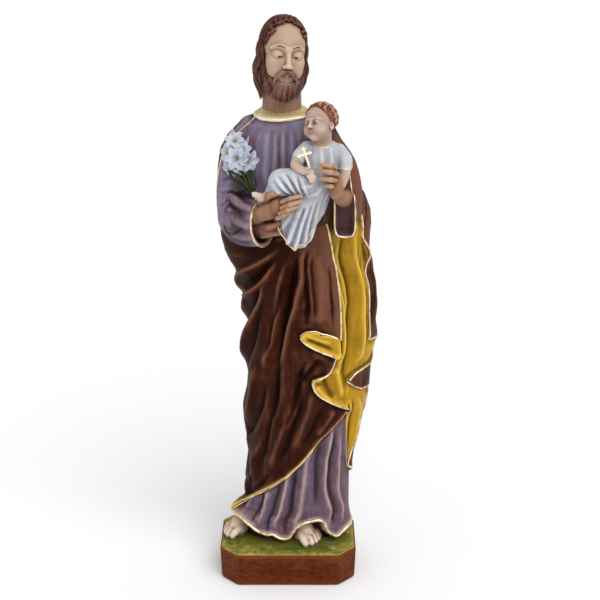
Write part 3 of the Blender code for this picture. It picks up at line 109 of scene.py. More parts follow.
# Folds: the line of each crest, how wide it is and how high, negative for a valley
TUNIC_FOLDS = [
    ([(25, 128), (21, 106), (17, 72), (11, 36), (8, 14)], 6.0, 6.4),
    ([(2, 90), (-1, 76), (-8, 41), (-14, 12)], 3.4, 5.4),
    ([(-20, 68), (-26, 42), (-31, 14)], 4.0, 4.6),
    ([(-36, 60), (-43, 42), (-54, 24)], 4.0, 3.6),
    ([(-10, 74), (-19, 42), (-23, 10)], 2.8, -4.4),
    ([(-28, 60), (-36, 36), (-44, 18)], 2.4, -3.6),
    ([(8, 92), (3, 56), (-2, 8)], 3.2, -5.2),
    ([(37, 128), (33, 84), (32, 40)], 5.0, -5.4),
    ([(48, 150), (46, 130), (41, 90), (40, 64), (46, 38), (54, 8)], 3.8, 5.6),
    ([(52, 146), (48, 100), (47.5, 66), (54, 34), (60, 12)], 2.8, -3.8),
    ([(58, 150), (55, 96), (54.5, 62), (60, 36), (67, 14)], 3.2, 4.8),
    ([(-27, 460), (-31, 430), (-33, 400)], 4.2, 1.4),
    ([(-19, 459), (-22, 430), (-25, 398)], 3.4, 1.7),
    ([(-12, 458), (-13, 430), (-15, 396)], 3.0, 1.2),
    ([(-4, 458), (-4, 430), (-4, 400)], 3.4, 1.7),
    ([(5, 458), (6, 430), (5, 410)], 3.0, 1.2),
    ([(13, 460), (14, 440), (14, 420)], 3.0, 1.4),
    ([(-15.5, 460), (-17, 430), (-20, 398)], 2.2, -1.5),
    ([(-8, 460), (-8, 430), (-9, 398)], 2.2, -1.3),
    ([(0.5, 460), (1, 432), (1, 404)], 2.2, -1.5),
]
MANTLE_FOLDS = [
    ([(15, 346), (9, 318), (3, 290), (-5, 243), (-16, 176), (-27, 108), (-36, 62)], 4.2, -10.0),
    ([(18, 346), (15, 318), (10, 290), (2, 256), (-8, 219), (-20, 178)], 4.6, 9.0),
    ([(3, 334), (-8, 286), (-16, 236), (-26, 200)], 4.0, 8.6),
    ([(-3, 312), (-13, 262), (-22, 214)], 2.6, -6.6),
    ([(34, 336), (32, 285), (33, 256)], 6.5, 6.4),
    ([(23, 342), (20, 297), (19, 256)], 3.6, -7.6),
    ([(28, 336), (26, 300), (27, 262)], 2.0, -3.6),
    ([(42, 330), (44, 290), (46, 254)], 2.6, -3.0),
    ([(-30, 214), (-36, 170), (-46, 128)], 5.0, 6.2),
    ([(-24, 198), (-32, 150), (-42, 112)], 2.8, -5.0),
    ([(-15, 174), (-27, 118), (-40, 72)], 6.0, 6.8),
    ([(6, 176), (-6, 128), (-18, 84)], 5.6, 6.0),
    ([(16, 184), (4, 136), (-10, 96)], 3.0, -4.6),
    ([(28, 196), (18, 150), (4, 108)], 6.0, 5.2),
    ([(38, 170), (26, 140), (14, 116)], 3.0, -2.8),
    ([(48, 166), (40, 148), (28, 130)], 4.0, 3.6),
    ([(20, 222), (8, 176), (-4, 136)], 3.6, -5.6),
    ([(36, 222), (24, 206), (12, 192)], 4.0, -5.0),
    ([(76, 352), (87, 300), (91, 244)], 3.0, 4.6),
    ([(72, 396), (79, 350), (86, 290), (88, 240)], 2.0, -3.2),
    ([(58, 436), (64, 410), (74, 380)], 3.5, 4.0),
    ([(50, 440), (56, 416), (66, 392)], 2.5, -3.0),
]
# Folds that run from the front round the viewer's left side: seen from the front, then by degrees round
MANTLE_SWEEPS = [
    ([(-2, 344), (-25, 324), (-46, 306)], [(-84, 292), (-112, 262), (-140, 240)], 3.6, 8.0),
    ([(-6, 336), (-26, 312), (-44, 294)], [(-86, 279), (-114, 250)], 2.4, -7.4),
    ([(-7, 328), (-26, 298), (-41, 279)], [(-88, 264), (-116, 232)], 3.4, 7.6),
    ([(-12, 318), (-30, 284), (-40, 262)], [(-88, 247), (-112, 222)], 2.4, -7.0),
    ([(-8, 332), (-20, 300), (-34, 258), (-42, 232)], [(-88, 214), (-116, 180)], 4.0, 8.2),
    ([(-14, 312), (-28, 268), (-38, 228), (-43, 206)], [(-92, 180), (-110, 150)], 2.6, -6.4),
    ([(-36, 196), (-42, 150)], [(-84, 112), (-96, 70), (-104, 40)], 5.0, 6.0),
    ([(-42, 128), (-46, 92)], [(-80, 60), (-92, 36)], 3.0, -4.6),
    ([(-30, 92), (-44, 60), (-58, 36)], [(-96, 28)], 4.0, 4.6),
    ([(-16, 88), (-34, 62), (-50, 42)], [(-84, 34)], 2.6, -4.0),
]
BACK_FOLDS = [
    ([(104, 420), (112, 330), (116, 220), (118, 90)], 4.5, 5.0),
    ([(122, 440), (128, 330), (132, 200), (134, 66)], 3.0, -5.0),
    ([(140, 450), (146, 340), (150, 220), (154, 56)], 5.5, 6.0),
    ([(158, 455), (160, 330), (164, 200), (168, 44)], 3.0, -6.0),
    ([(176, 455), (174, 330), (178, 200), (179.5, 40)], 4.5, 5.5),
    ([(-166, 455), (-166, 330), (-170, 200), (-172, 40)], 3.0, -5.0),
    ([(-154, 450), (-150, 330), (-154, 200), (-158, 40)], 5.5, 6.0),
    ([(-138, 440), (-136, 330), (-140, 200), (-146, 40)], 3.0, -5.5),
    ([(-122, 430), (-124, 330), (-128, 200), (-134, 40)], 4.5, 5.5),
]
LINING_FOLDS = [
    ([(46, 362), (54, 290), (59, 244), (53, 196)], 3.2, 6.6),
    ([(52, 350), (58, 290), (62, 244)], 1.8, -3.6),
    ([(62, 372), (68, 297), (67, 243), (62, 178)], 4.0, -9.0),
    ([(70, 378), (77, 290), (77, 233), (72, 206)], 3.6, 7.4),
    ([(78, 330), (81, 280), (81, 240)], 2.0, -4.0),
    ([(36, 200), (42, 188), (48, 174)], 3.6, -4.4),
    ([(29, 192), (36, 182), (46, 172)], 2.4, 3.2),
    ([(50, 212), (54, 196), (58, 172)], 3.0, 4.0),
    ([(18, 249), (30, 244), (46, 238)], 1.8, 2.2), ([(19, 244.5), (31, 238.5), (47, 231)], 1.5, -2.6),
    ([(76, 176), (76, 140), (70, 96)], 3.0, 3.6),
    ([(69, 176), (69, 130), (67, 92)], 2.0, -3.6),
]


def smooth_min(a, b, blend):
    """The lower of two distances, with the crease between them filled over the given width."""
    if blend <= 0:
        return np.minimum(a, b)
    share = np.clip(0.5 + 0.5 * (b - a) / blend, 0, 1)
    return b + (a - b) * share - blend * share * (1 - share)


def smooth_step(value):
    """0 below 0, 1 above 1, and an even rise between."""
    t = np.clip(value, 0, 1)
    return t * t * (3 - 2 * t)


def smooth_line(points, steps):
    """A Catmull-Rom curve through the points, with so many steps for each span."""
    p = np.array(points, float)
    ends = np.vstack([2 * p[0] - p[1], p, 2 * p[-1] - p[-2]])
    line = []
    for a, b, c, d in zip(ends, ends[1:], ends[2:], ends[3:]):
        for t in np.arange(steps) / steps:
            line.append(0.5 * (2 * b + (c - a) * t + (2 * a - 5 * b + 4 * c - d) * t * t
                               + (3 * b - a - 3 * c + d) * t ** 3))
    return np.array(line + [p[-1]])


def turned(yaw, roll, pitch):
    """Turns the face to the viewer's right, then tips the crown that way, then bows it, in degrees."""
    a, b, c = (math.radians(v) for v in (yaw, roll, pitch))
    about_z = np.array([(math.cos(a), -math.sin(a), 0), (math.sin(a), math.cos(a), 0), (0, 0, 1)])
    about_y = np.array([(math.cos(b), 0, math.sin(b)), (0, 1, 0), (-math.sin(b), 0, math.cos(b))])
    about_x = np.array([(1, 0, 0), (0, math.cos(c), -math.sin(c)), (0, math.sin(c), math.cos(c))])
    return about_z @ about_y @ about_x


def ellipsoid(centre, radii, turn=None):
    """A ball stretched along its own axes, which are the columns of turn."""
    centre, radii = np.array(centre, float), np.broadcast_to(np.array(radii, float), 3)
    turn = np.eye(3) if turn is None else turn
    reach = np.sqrt((turn ** 2) @ radii ** 2)

    def distance(x, y, z):
        p = (x - centre[0], y - centre[1], z - centre[2])
        own = [(turn[0, i] * p[0] + turn[1, i] * p[1] + turn[2, i] * p[2]) / radii[i] for i in range(3)]
        stretch = np.sqrt(own[0] ** 2 + own[1] ** 2 + own[2] ** 2)
        slope = np.sqrt((own[0] / radii[0]) ** 2 + (own[1] / radii[1]) ** 2 + (own[2] / radii[2]) ** 2)
        return stretch * (stretch - 1) / np.maximum(slope, 1e-6)

    return Form(centre - reach, centre + reach, distance)


def tube(points, radii, steps=3):
    """A rounded, tapering tube along a smooth line through the points."""
    line = smooth_line(points, steps)
    girths = np.interp(np.linspace(0, 1, len(line)), np.linspace(0, 1, len(radii)), radii)
    reach = girths.max()

    def distance(x, y, z):
        nearest = FAR
        for a, b, thick, thin in zip(line, line[1:], girths, girths[1:]):
            run = b - a
            p = (x - a[0], y - a[1], z - a[2])
            t = np.clip((p[0] * run[0] + p[1] * run[1] + p[2] * run[2]) / (run @ run), 0, 1)
            gap = np.sqrt((p[0] - t * run[0]) ** 2 + (p[1] - t * run[1]) ** 2 + (p[2] - t * run[2]) ** 2)
            nearest = np.minimum(nearest, gap - thick - t * (thin - thick))
        return nearest

    return Form(line.min(0) - reach, line.max(0) + reach, distance)


def block(centre, half, rounding, turn=None):
    """A box with rounded edges."""
    centre, half = np.array(centre, float), np.array(half, float)
    turn = np.eye(3) if turn is None else turn
    reach = np.abs(turn) @ half

    def distance(x, y, z):
        p = (x - centre[0], y - centre[1], z - centre[2])
        over = [np.abs(turn[0, i] * p[0] + turn[1, i] * p[1] + turn[2, i] * p[2]) - half[i] + rounding
                for i in range(3)]
        outside = np.sqrt(sum(np.maximum(o, 0) ** 2 for o in over))
        return outside + np.minimum(np.maximum(np.maximum(over[0], over[1]), over[2]), 0) - rounding

    return Form(centre - reach, centre + reach, distance)


def without(form, hollow, blend):
    """The form where the hollow isn't."""
    def distance(x, y, z):
        return -smooth_min(-form.distance(x, y, z), hollow.distance(x, y, z), blend)

    return Form(form.low, form.high, distance)


def behind(form, point, normal, rounding=0.6):
    """The part of the form that lies behind a plane."""
    point, normal = np.array(point, float), np.array(normal, float) / np.linalg.norm(normal)

    def distance(x, y, z):
        ahead = (x - point[0]) * normal[0] + (y - point[1]) * normal[1] + (z - point[2]) * normal[2]
        return -smooth_min(-form.distance(x, y, z), -ahead, rounding)

    return Form(form.low, form.high, distance)


def shrunk(form, wall):
    """The form with its surface drawn in by the thickness of a wall."""
    return Form(form.low, form.high, lambda x, y, z: form.distance(x, y, z) + wall)


def ring(form, point, normal, steps=40):
    """The line where the form's surface meets a plane, all the way round a point inside it."""
    point, normal = np.array(point, float), np.array(normal, float) / np.linalg.norm(normal)
    side = np.cross(normal, (0, 0, 1))
    side /= np.linalg.norm(side)
    up = np.cross(side, normal)
    line = []
    for turn in np.linspace(0, 2 * math.pi, steps, endpoint=False):
        ray = math.cos(turn) * side + math.sin(turn) * up
        near, far = 0.0, 60.0
        for _ in range(24):
            middle = (near + far) / 2
            spot = (point + middle * ray).reshape(3, 1, 1, 1)
            if form.distance(*spot).item() < 0:
                near = middle
            else:
                far = middle
        line.append(point + near * ray)
    return np.array(line + line[:1])


class Pose:
    """Where a head sits, how it is turned and how tall it is: its points are shares of that height."""

    def __init__(self, origin, turn, height):
        self.origin, self.turn, self.height = np.array(origin, float), turn, height

    def at(self, point):
        """A point of the head in figure units."""
        return self.origin + self.turn @ (np.array(point, float) * self.height)

    def ball(self, point, radii):
        return ellipsoid(self.at(point), np.array(radii, float) * self.height, self.turn)

    def strand(self, points, radii, steps=3):
        return tube([self.at(p) for p in points], np.array(radii, float) * self.height, steps)


class Clay:
    """The distance to the whole form at each point of a regular block, built up form by form."""

    def __init__(self, low, high, grain):
        self.low, self.grain = np.array(low, float), grain
        counts = np.ceil((np.array(high, float) - self.low) / grain).astype(int) + 1
        self.axes = [self.low[i] + grain * np.arange(n) for i, n in enumerate(counts)]
        self.field = np.full(counts, FAR, np.float32)
        self.forms = []
        self.paint = "flesh"

    def window(self, form, margin):
        """The part of the block near a form, and its coordinates."""
        spans = [slice(*np.searchsorted(axis, (form.low[i] - margin, form.high[i] + margin)))
                 for i, axis in enumerate(self.axes)]
        shapes = ((-1, 1, 1), (1, -1, 1), (1, 1, -1))
        return tuple(spans), [self.axes[i][spans[i]].reshape(shapes[i]).astype(np.float32) for i in range(3)]

    def add(self, form, blend=0.0):
        spans, places = self.window(form, blend + 3 * self.grain)
        self.field[spans] = smooth_min(self.field[spans], form.distance(*places), blend)
        self.forms.append((form, self.paint))

    def front(self, line, depth):
        """A curve through the points, moved along y to lie so far under the front of the clay."""
        line = smooth_line(line, 4)
        for point in line:
            i, k = np.rint((point[[0, 2]] - self.low[[0, 2]]) / self.grain).astype(int)
            column = self.field[i, :, k]
            j = int((column < 0).argmax())
            if j:
                share = column[j - 1] / (column[j - 1] - column[j])
                point[1] = self.low[1] + (j - 1 + share) * self.grain + depth
        return line

    def relief(self, points, reach):
        """How far each point stands out from the form around it, and below nought in a hollow."""
        soft = np.clip(self.field, -2.2 * reach, 2.2 * reach)
        half = max(1, round(reach / self.grain))
        for axis in range(3):
            pad = [(0, 0)] * 3
            pad[axis] = (half + 1, half)
            total = np.cumsum(np.pad(soft, pad, "edge"), axis, dtype=np.float64)
            ends, starts = [slice(None)] * 3, [slice(None)] * 3
            ends[axis], starts[axis] = slice(2 * half + 1, None), slice(None, -2 * half - 1)
            soft = ((total[tuple(ends)] - total[tuple(starts)]) / (2 * half + 1)).astype(np.float32)
        place = np.clip((points - self.low) / self.grain, 0, np.array(soft.shape) - 1.001)
        corner = place.astype(int)
        part = place - corner
        value = 0
        for i in (0, 1):
            for j in (0, 1):
                for k in (0, 1):
                    share = (abs(1 - i - part[:, 0]) * abs(1 - j - part[:, 1]) * abs(1 - k - part[:, 2]))
                    value = value + share * soft[corner[:, 0] + i, corner[:, 1] + j, corner[:, 2] + k]
        return value

    def cut(self, form, blend=0.0, paint=None):
        spans, places = self.window(form, blend + 3 * self.grain)
        self.field[spans] = -smooth_min(-self.field[spans], form.distance(*places), blend)
        if paint:
            self.forms.append((form, paint))

    def close_corners(self):
        """Fills the few points that would let the surface touch itself at an edge or a corner."""
        for _ in range(12):
            solid = self.field < 0
            flips = np.zeros_like(solid)
            for i, j in ((0, 1), (0, 2), (1, 2)):
                a, b, c, d = (shifted(solid, {i: p, j: q}) for p, q in ((0, 0), (1, 0), (0, 1), (1, 1)))
                mark = (a & d & ~b & ~c) | (b & c & ~a & ~d)
                for p, q in ((0, 0), (1, 0), (0, 1), (1, 1)):
                    shifted(flips, {i: p, j: q})[...] |= mark
            corners = [(i, j, k) for i in (0, 1) for j in (0, 1) for k in (0, 1)]
            count = sum(shifted(solid, dict(enumerate(c))).astype(np.int8) for c in corners)
            for i, j, k in corners[:4]:
                near, far = shifted(solid, {0: i, 1: j, 2: k}), shifted(solid, {0: 1 - i, 1: 1 - j, 2: 1 - k})
                mark = (near & far & (count == 2)) | (~near & ~far & (count == 6))
                for c in corners:
                    shifted(flips, dict(enumerate(c)))[...] |= mark
            flips &= ~solid
            if not flips.any():
                return
            self.field[flips] = -0.05 * self.grain

    def surface(self):
        """Points and quads of a closed net, one point in each cell that the surface crosses."""
        solid = self.field < 0
        corners = [(i, j, k) for i in (0, 1) for j in (0, 1) for k in (0, 1)]
        count = sum(shifted(solid, dict(enumerate(c))).astype(np.int8) for c in corners)
        cells = np.argwhere((count > 0) & (count < 8))
        number = np.full(count.shape, -1, np.int64)
        number[tuple(cells.T)] = np.arange(len(cells))
        total, hits = np.zeros((len(cells), 3)), np.zeros(len(cells))
        for a in corners:
            for axis in range(3):
                if a[axis]:
                    continue
                b = tuple(a[i] + (i == axis) for i in range(3))
                at_a = self.field[tuple((cells + a).T)].astype(float)
                at_b = self.field[tuple((cells + b).T)].astype(float)
                crossed = (at_a < 0) != (at_b < 0)
                t = np.where(crossed, at_a / np.where(crossed, at_a - at_b, 1), 0)
                place = cells + np.array(a) + t[:, None] * (np.arange(3) == axis)
                total += place * crossed[:, None]
                hits += crossed
        points = self.low + self.grain * total / hits[:, None]
        quads = []
        for axis in range(3):
            u, v = (axis + 1) % 3, (axis + 2) % 3
            here, there = shifted(solid, {axis: 0}), shifted(solid, {axis: 1})
            inner = np.argwhere(here != there)
            inner = inner[(inner[:, u] > 0) & (inner[:, v] > 0)]
            around = []
            for back_u, back_v in ((0, 0), (1, 0), (1, 1), (0, 1)):
                cell = inner.copy()
                cell[:, u] -= back_u
                cell[:, v] -= back_v
                around.append(number[tuple(cell.T)])
            quad = np.stack(around, 1)
            outward = here[tuple(inner.T)]
            quads.append(np.where(outward[:, None], quad, quad[:, ::-1]))
        return points, np.vstack(quads)


def shifted(points, starts):
    """A view of the block one short along each axis named in starts, from the start given."""
    spans = [slice(None)] * 3
    for axis, start in starts.items():
        spans[axis] = slice(start, points.shape[axis] - 1 + start)
    return points[tuple(spans)]


class Sheet:
    """The cloth round the body laid out flat: levels up, lengths round, and a relief at each place."""

    def __init__(self, step):
        self.levels = np.arange(BODY[0, 0], BODY[-1, 0] + step, step)
        self.angles = np.linspace(-math.pi, math.pi, 2 * int(200 / step) + 1)
        left, right, front, back = (np.interp(self.levels, BODY[:, 0], BODY[:, i]) for i in (1, 2, 3, 4))
        self.middle = np.stack([(left + right) / 2, (front + back) / 2])
        self.half = np.stack([(right - left) / 2, (back - front) / 2])
        across, along = np.abs(np.sin(self.angles)), np.abs(np.cos(self.angles))
        power = BODY_SQUARENESS
        self.radius = ((across / self.half[0][:, None]) ** power
                       + (along / self.half[1][:, None]) ** power) ** (-1 / power)
        x, y = self.radius * np.sin(self.angles), -self.radius * np.cos(self.angles)
        run = np.hypot(np.diff(x, axis=1), np.diff(y, axis=1))
        length = np.hstack([np.zeros((len(run), 1)), np.cumsum(run, 1)])
        self.round = length - length[:, [len(self.angles) // 2]]
        self.up = np.broadcast_to(self.levels[:, None], self.round.shape)

    def row(self, level):
        """The number of the row at a level, with its share of the next."""
        return (level - self.levels[0]) / (self.levels[1] - self.levels[0])

    def centre(self, level):
        """The middle of the body at a level."""
        return [np.interp(level, self.levels, row) for row in self.middle]

    def place(self, angle, level):
        """The length round to a direction at a level."""
        row = int(np.clip(round(self.row(level)), 0, len(self.levels) - 1))
        return float(np.interp(angle, self.angles, self.round[row]))

    def lay(self, points):
        """Points seen from the front, as x and height, laid on the flat sheet."""
        laid = []
        for x, level in points:
            middle, half, depth = (np.interp(level, self.levels, row)
                                   for row in (self.middle[0], self.half[0], self.half[1]))
            share = np.clip((x - middle) / half, -0.999, 0.999)
            toward = depth * (1 - abs(share) ** BODY_SQUARENESS) ** (1 / BODY_SQUARENESS)
            laid.append((self.place(math.atan2(share * half, toward), level), level))
        return np.array(laid)

    def behind(self, points):
        """Points given as degrees round from the front, and height, laid on the flat sheet."""
        return np.array([(self.place(math.radians(angle), level), level) for angle, level in points])

    def near(self, line, margin):
        """The part of the sheet within a margin of a line, and its coordinates."""
        low, high = line.min(0) - margin, line.max(0) + margin
        rows = slice(*np.searchsorted(self.levels, (low[1], high[1])))
        inside = (self.round[rows] > low[0]) & (self.round[rows] < high[0])
        return rows, inside, self.round[rows][inside], self.up[rows][inside]

    def fold(self, relief, line, width, height, lean=0.0, fade=0.25, steps=4):
        """Raises a rounded crest along a line, or sinks a valley when the height is negative."""
        line = smooth_line(line, steps)
        rows, inside, s, z = self.near(line, 4.5 * width)
        best, side, along = np.full(s.shape, FAR), np.zeros(s.shape), np.zeros(s.shape)
        for i, (a, b) in enumerate(zip(line, line[1:])):
            run = b - a
            t, gap = to_stretch(s, z, a, b)
            closer = gap < best
            best = np.where(closer, gap, best)
            side = np.where(closer, np.sign(run[0] * (z - a[1]) - run[1] * (s - a[0])), side)
            along = np.where(closer, (i + t) / (len(line) - 1), along)
        spread = best / (width * (1 + lean * side))
        ends = smooth_step(along / fade) * smooth_step((1 - along) / fade) if fade else 1
        relief[rows][inside] += height * ends * np.exp(0.387 - np.sqrt(spread ** 2 + 0.15))

    def edge(self, line, reach):
        """1 on a line, falling away over the given reach."""
        line = smooth_line(line, 3)
        rows, inside, s, z = self.near(line, 5 * reach)
        best = np.full(s.shape, FAR)
        for a, b in zip(line, line[1:]):
            best = np.minimum(best, to_stretch(s, z, a, b)[1])
        falling = np.zeros(self.round.shape)
        falling[rows][inside] = np.exp(-(best / reach) ** 1.5)
        return falling

    def region(self, corners):
        """How far inside a closed outline each place lies, negative outside it."""
        corners = np.array(corners)
        rows, inside, s, z = self.near(corners, 8)
        best, odd = np.full(s.shape, FAR), np.zeros(s.shape, bool)
        for a, b in zip(corners, np.roll(corners, -1, 0)):
            run = b - a
            best = np.minimum(best, to_stretch(s, z, a, b, 1e-9)[1])
            spans = (a[1] > z) != (b[1] > z)
            odd ^= spans & (s < a[0] + (z - a[1]) * run[0] / (run[1] if run[1] else 1e-9))
        depth = np.full(self.round.shape, -9.0)
        depth[rows][inside] = np.where(odd, best, -best)
        return depth

    def sample(self, table, x, y, z):
        """A table of the sheet read at points in space."""
        rows = np.clip(self.row(z), 0, len(self.levels) - 1.001)
        right, back = self.centre(z)
        columns = (np.arctan2(x - right, back - y) / math.pi + 1) / 2 * (len(self.angles) - 1)
        columns = np.clip(columns, 0, len(self.angles) - 1.001)
        i, j = rows.astype(int), columns.astype(int)
        p, q = rows - i, columns - j
        return ((table[i, j] * (1 - q) + table[i, j + 1] * q) * (1 - p)
                + (table[i + 1, j] * (1 - q) + table[i + 1, j + 1] * q) * p)

    def aside(self, line, offset, step=2.0):
        """A line on the flat sheet drawn again with even steps, set to its left by an offset."""
        line = np.array(line, float)
        run = np.r_[0, np.cumsum(np.hypot(*np.diff(line, axis=0).T))]
        at = np.linspace(0, run[-1], max(2, int(run[-1] / step)))
        s, z = (np.interp(at, run, line[:, i]) for i in (0, 1))
        ahead = np.stack([np.gradient(s), np.gradient(z)])
        ahead /= np.maximum(np.hypot(*ahead), 1e-6)
        return np.stack([s - offset * ahead[1], z + offset * ahead[0]], 1)

    def along(self, line, relief, offset):
        """Points in space that follow a line on the flat sheet, set aside from it by an offset."""
        s, z = self.aside(line, offset).T
        rows = np.clip(np.rint(self.row(z)).astype(int), 0, len(self.levels) - 1)
        angle = np.array([np.interp(a, self.round[row], self.angles) for a, row in zip(s, rows)])
        radius = np.array([np.interp(a, self.angles, (self.radius + relief)[row])
                           for a, row in zip(angle, rows)])
        right, back = self.centre(z)
        return np.stack([right + radius * np.sin(angle), back - radius * np.cos(angle), z], 1)

    def form(self, relief):
        """The robed body as a form, from the finished relief."""
        radius = self.radius + relief
        rise = np.gradient(radius, self.levels, axis=0)
        swing = np.gradient(radius, self.angles, axis=1) / np.maximum(radius, 1)
        slope = np.sqrt(1 + np.minimum(rise ** 2 + swing ** 2, 6))
        slope[:, 0] = slope[:, -1] = (slope[:, 1] + slope[:, -2]) / 2
        self.finished = radius, slope
        reach = radius.max() + 2
        low = np.array([self.middle[0].min() - reach, self.middle[1].min() - reach, self.levels[0]])
        high = np.array([self.middle[0].max() + reach, self.middle[1].max() + reach, self.levels[-1]])

        def distance(x, y, z):
            out = np.full(np.broadcast_shapes(x.shape, y.shape, z.shape), FAR, np.float32)
            for k in range(z.shape[2]):
                level = float(z[0, 0, k])
                if not self.levels[0] <= level <= self.levels[-1]:
                    continue
                step = self.row(level)
                row = min(int(step), len(self.levels) - 2)
                part = step - row
                mix = [table[row] * (1 - part) + table[row + 1] * part for table in (radius, slope)]
                right, back = self.centre(level)
                dx, dy = x[:, :, 0] - right, y[:, :, 0] - back
                angle = np.arctan2(dx, -dy)
                reached, steep = (np.interp(angle, self.angles, m) for m in mix)
                out[:, :, k] = np.maximum((np.hypot(dx, dy) - reached) / steep, level - self.levels[-1] + 2)
            return out

        return Form(low, high, distance)


def to_stretch(s, z, a, b, least=0.0):
    """How far along a stretch each place lies, as a share, and how far from it."""
    run = b - a
    t = np.clip(((s - a[0]) * run[0] + (z - a[1]) * run[1]) / (run @ run + least), 0, 1)
    return t, np.hypot(s - a[0] - t * run[0], z - a[1] - t * run[1])


def blended(relief, other, depth, width=1.2):
    """The relief with another laid in where the depth inside its region is positive."""
    return relief + (other - relief) * smooth_step(0.5 + depth / width)


def robe(step):
    """The sheet of the robed body, the relief of its folds, and where each cloth lies on it."""
    sheet = Sheet(step)
    tunic, mantle, lining = (np.zeros(sheet.round.shape) for _ in range(3))
    for relief, folds in ((tunic, TUNIC_FOLDS), (mantle, MANTLE_FOLDS), (lining, LINING_FOLDS)):
        for points, width, height in folds:
            sheet.fold(relief, sheet.lay(points), width, height)
    for front, back, width, height in MANTLE_SWEEPS:
        sheet.fold(mantle, np.vstack([sheet.lay(front), sheet.behind(back)]), width, height)
    for points, width, height in BACK_FOLDS:
        sheet.fold(mantle, sheet.behind(points), width, height)
    behind = smooth_step((np.abs(sheet.angles) - 1.7) / 0.5)
    sway = 0.5 * np.sin(sheet.levels / 70)[:, None] + 0.35 * np.sin(sheet.levels / 31)[:, None]
    mantle += 2.6 * behind * (0.4 - np.abs(np.sin(7.5 * sheet.angles + sway)) ** 0.8)
    tunic += 4.0 * behind * (0.4 - np.abs(np.sin(9.5 * sheet.angles + 2 * sway)) ** 0.8)
    mantle += 5.0 * sheet.edge(sheet.lay(FRONT_EDGE), 8)
    mantle += 2.4 * sheet.edge(sheet.lay(SKIRT_HEM), 5)
    tunic += 2.6 * sheet.edge(sheet.lay(TUNIC_HEM), 6)
    tongue = 3.0 + lining + 4.0 * sheet.edge(sheet.lay(TONGUE_EDGE), 6)
    lining += 7.0 * sheet.edge(sheet.lay(LOWER_EDGE[4:]), 9)

    skirt = np.vstack([sheet.lay(SKIRT_HEM[::-1]), sheet.lay([(64, 153), (65, 124), (66, 84)]),
                       sheet.behind(SKIRT_HEM_BEHIND[0] + [(179.9, -9), (-179.9, -9)] + SKIRT_HEM_BEHIND[1])])
    hem = np.vstack([sheet.lay(TUNIC_HEM), sheet.behind(TUNIC_HEM_BEHIND[0] + [(179.9, -12), (-179.9, -12)]
                                                        + TUNIC_HEM_BEHIND[1])])
    turn = np.vstack([sheet.aside(sheet.lay(SKIRT_HEM), 0), sheet.aside(sheet.lay(SKIRT_HEM), -1.6)[::-1]])
    collar = np.vstack([sheet.behind(COLLAR), sheet.behind([(179.9, 486), (-179.9, 486)])])
    for line in (skirt, hem, collar):
        line[:, 0] *= np.where(np.abs(line[:, 0]) > 0.97 * np.abs(line[:, 0]).max(), 1.25, 1)
    skirt, chest, hem, turn = (sheet.region(line) for line in (skirt, sheet.lay(CHEST), hem, turn))
    turned_back = [sheet.region(line) for line in (
        np.vstack([sheet.lay(FRONT_EDGE + LOWER_EDGE + [(64, 170)] + CORNER), sheet.behind(CORNER_BEHIND),
                   sheet.lay(STRIP_EDGE[::-1])]),
        np.vstack([sheet.lay(BACK_LINING), sheet.behind(BACK_LINING_BEHIND)]), sheet.lay(UPPER_FLAP))]
    collar = sheet.region(collar)
    relief = mantle
    for cloth, region in ((tunic - TUNIC_DEPTH, skirt), (tunic - TUNIC_DEPTH, chest),
                          (lining - LINING_DEPTH, turned_back[0]), (lining - LINING_DEPTH, turned_back[1]),
                          (tongue, turned_back[2]), (-HEM_DEPTH, hem), (COLLAR_RISE, collar)):
        relief = blended(relief, cloth, region)
    seam = 0.5 * smooth_step((np.abs(sheet.angles) - 2.75) / 0.35)
    relief = relief * (1 - seam) + relief[:, ::-1] * seam
    inner = np.maximum.reduce(turned_back + [turn])
    under = np.maximum(skirt, chest)
    rest = np.minimum(-hem, -collar)
    # the hollow under the tunic's hem is painted dark, as painted shade
    cloths = {"lining": np.minimum(inner, -hem), "tunic": np.minimum.reduce([under, -inner, rest]),
              "mantle": np.minimum.reduce([-under, -inner, rest]), "dusk": hem, "gold": collar}
    return sheet, relief, cloths


def plinth(sizes, unit):
    """An octagonal block under the feet, a little narrower at the bottom, its top the grass."""
    width, depth, height, corner, back_corner, rounding = (size / unit for size in (
        sizes.plinth_width, sizes.plinth_depth, sizes.plinth_height, sizes.plinth_corner,
        sizes.plinth_back_corner, sizes.plinth_rounding))

    def distance(x, y, z):
        taper = 0.035 * np.maximum(-z, 0)
        across, along = np.abs(x) - width / 2 + taper, np.abs(y) - depth / 2 + taper
        cut = np.where(y < 0, corner, back_corner)
        slant = (across + along + cut) / math.sqrt(2)
        side = smooth_min(-smooth_min(-across, -along, 2.0), FAR, 0)
        side = -smooth_min(-side, -slant, 2.0)
        level = np.maximum(z, -z - height)
        return -smooth_min(-side, -level, rounding)

    low = (-width / 2 - 1, -depth / 2 - 1, -height - 1)
    return Form(np.array(low), np.array((width / 2 + 1, depth / 2 + 1, 1.0)), distance)


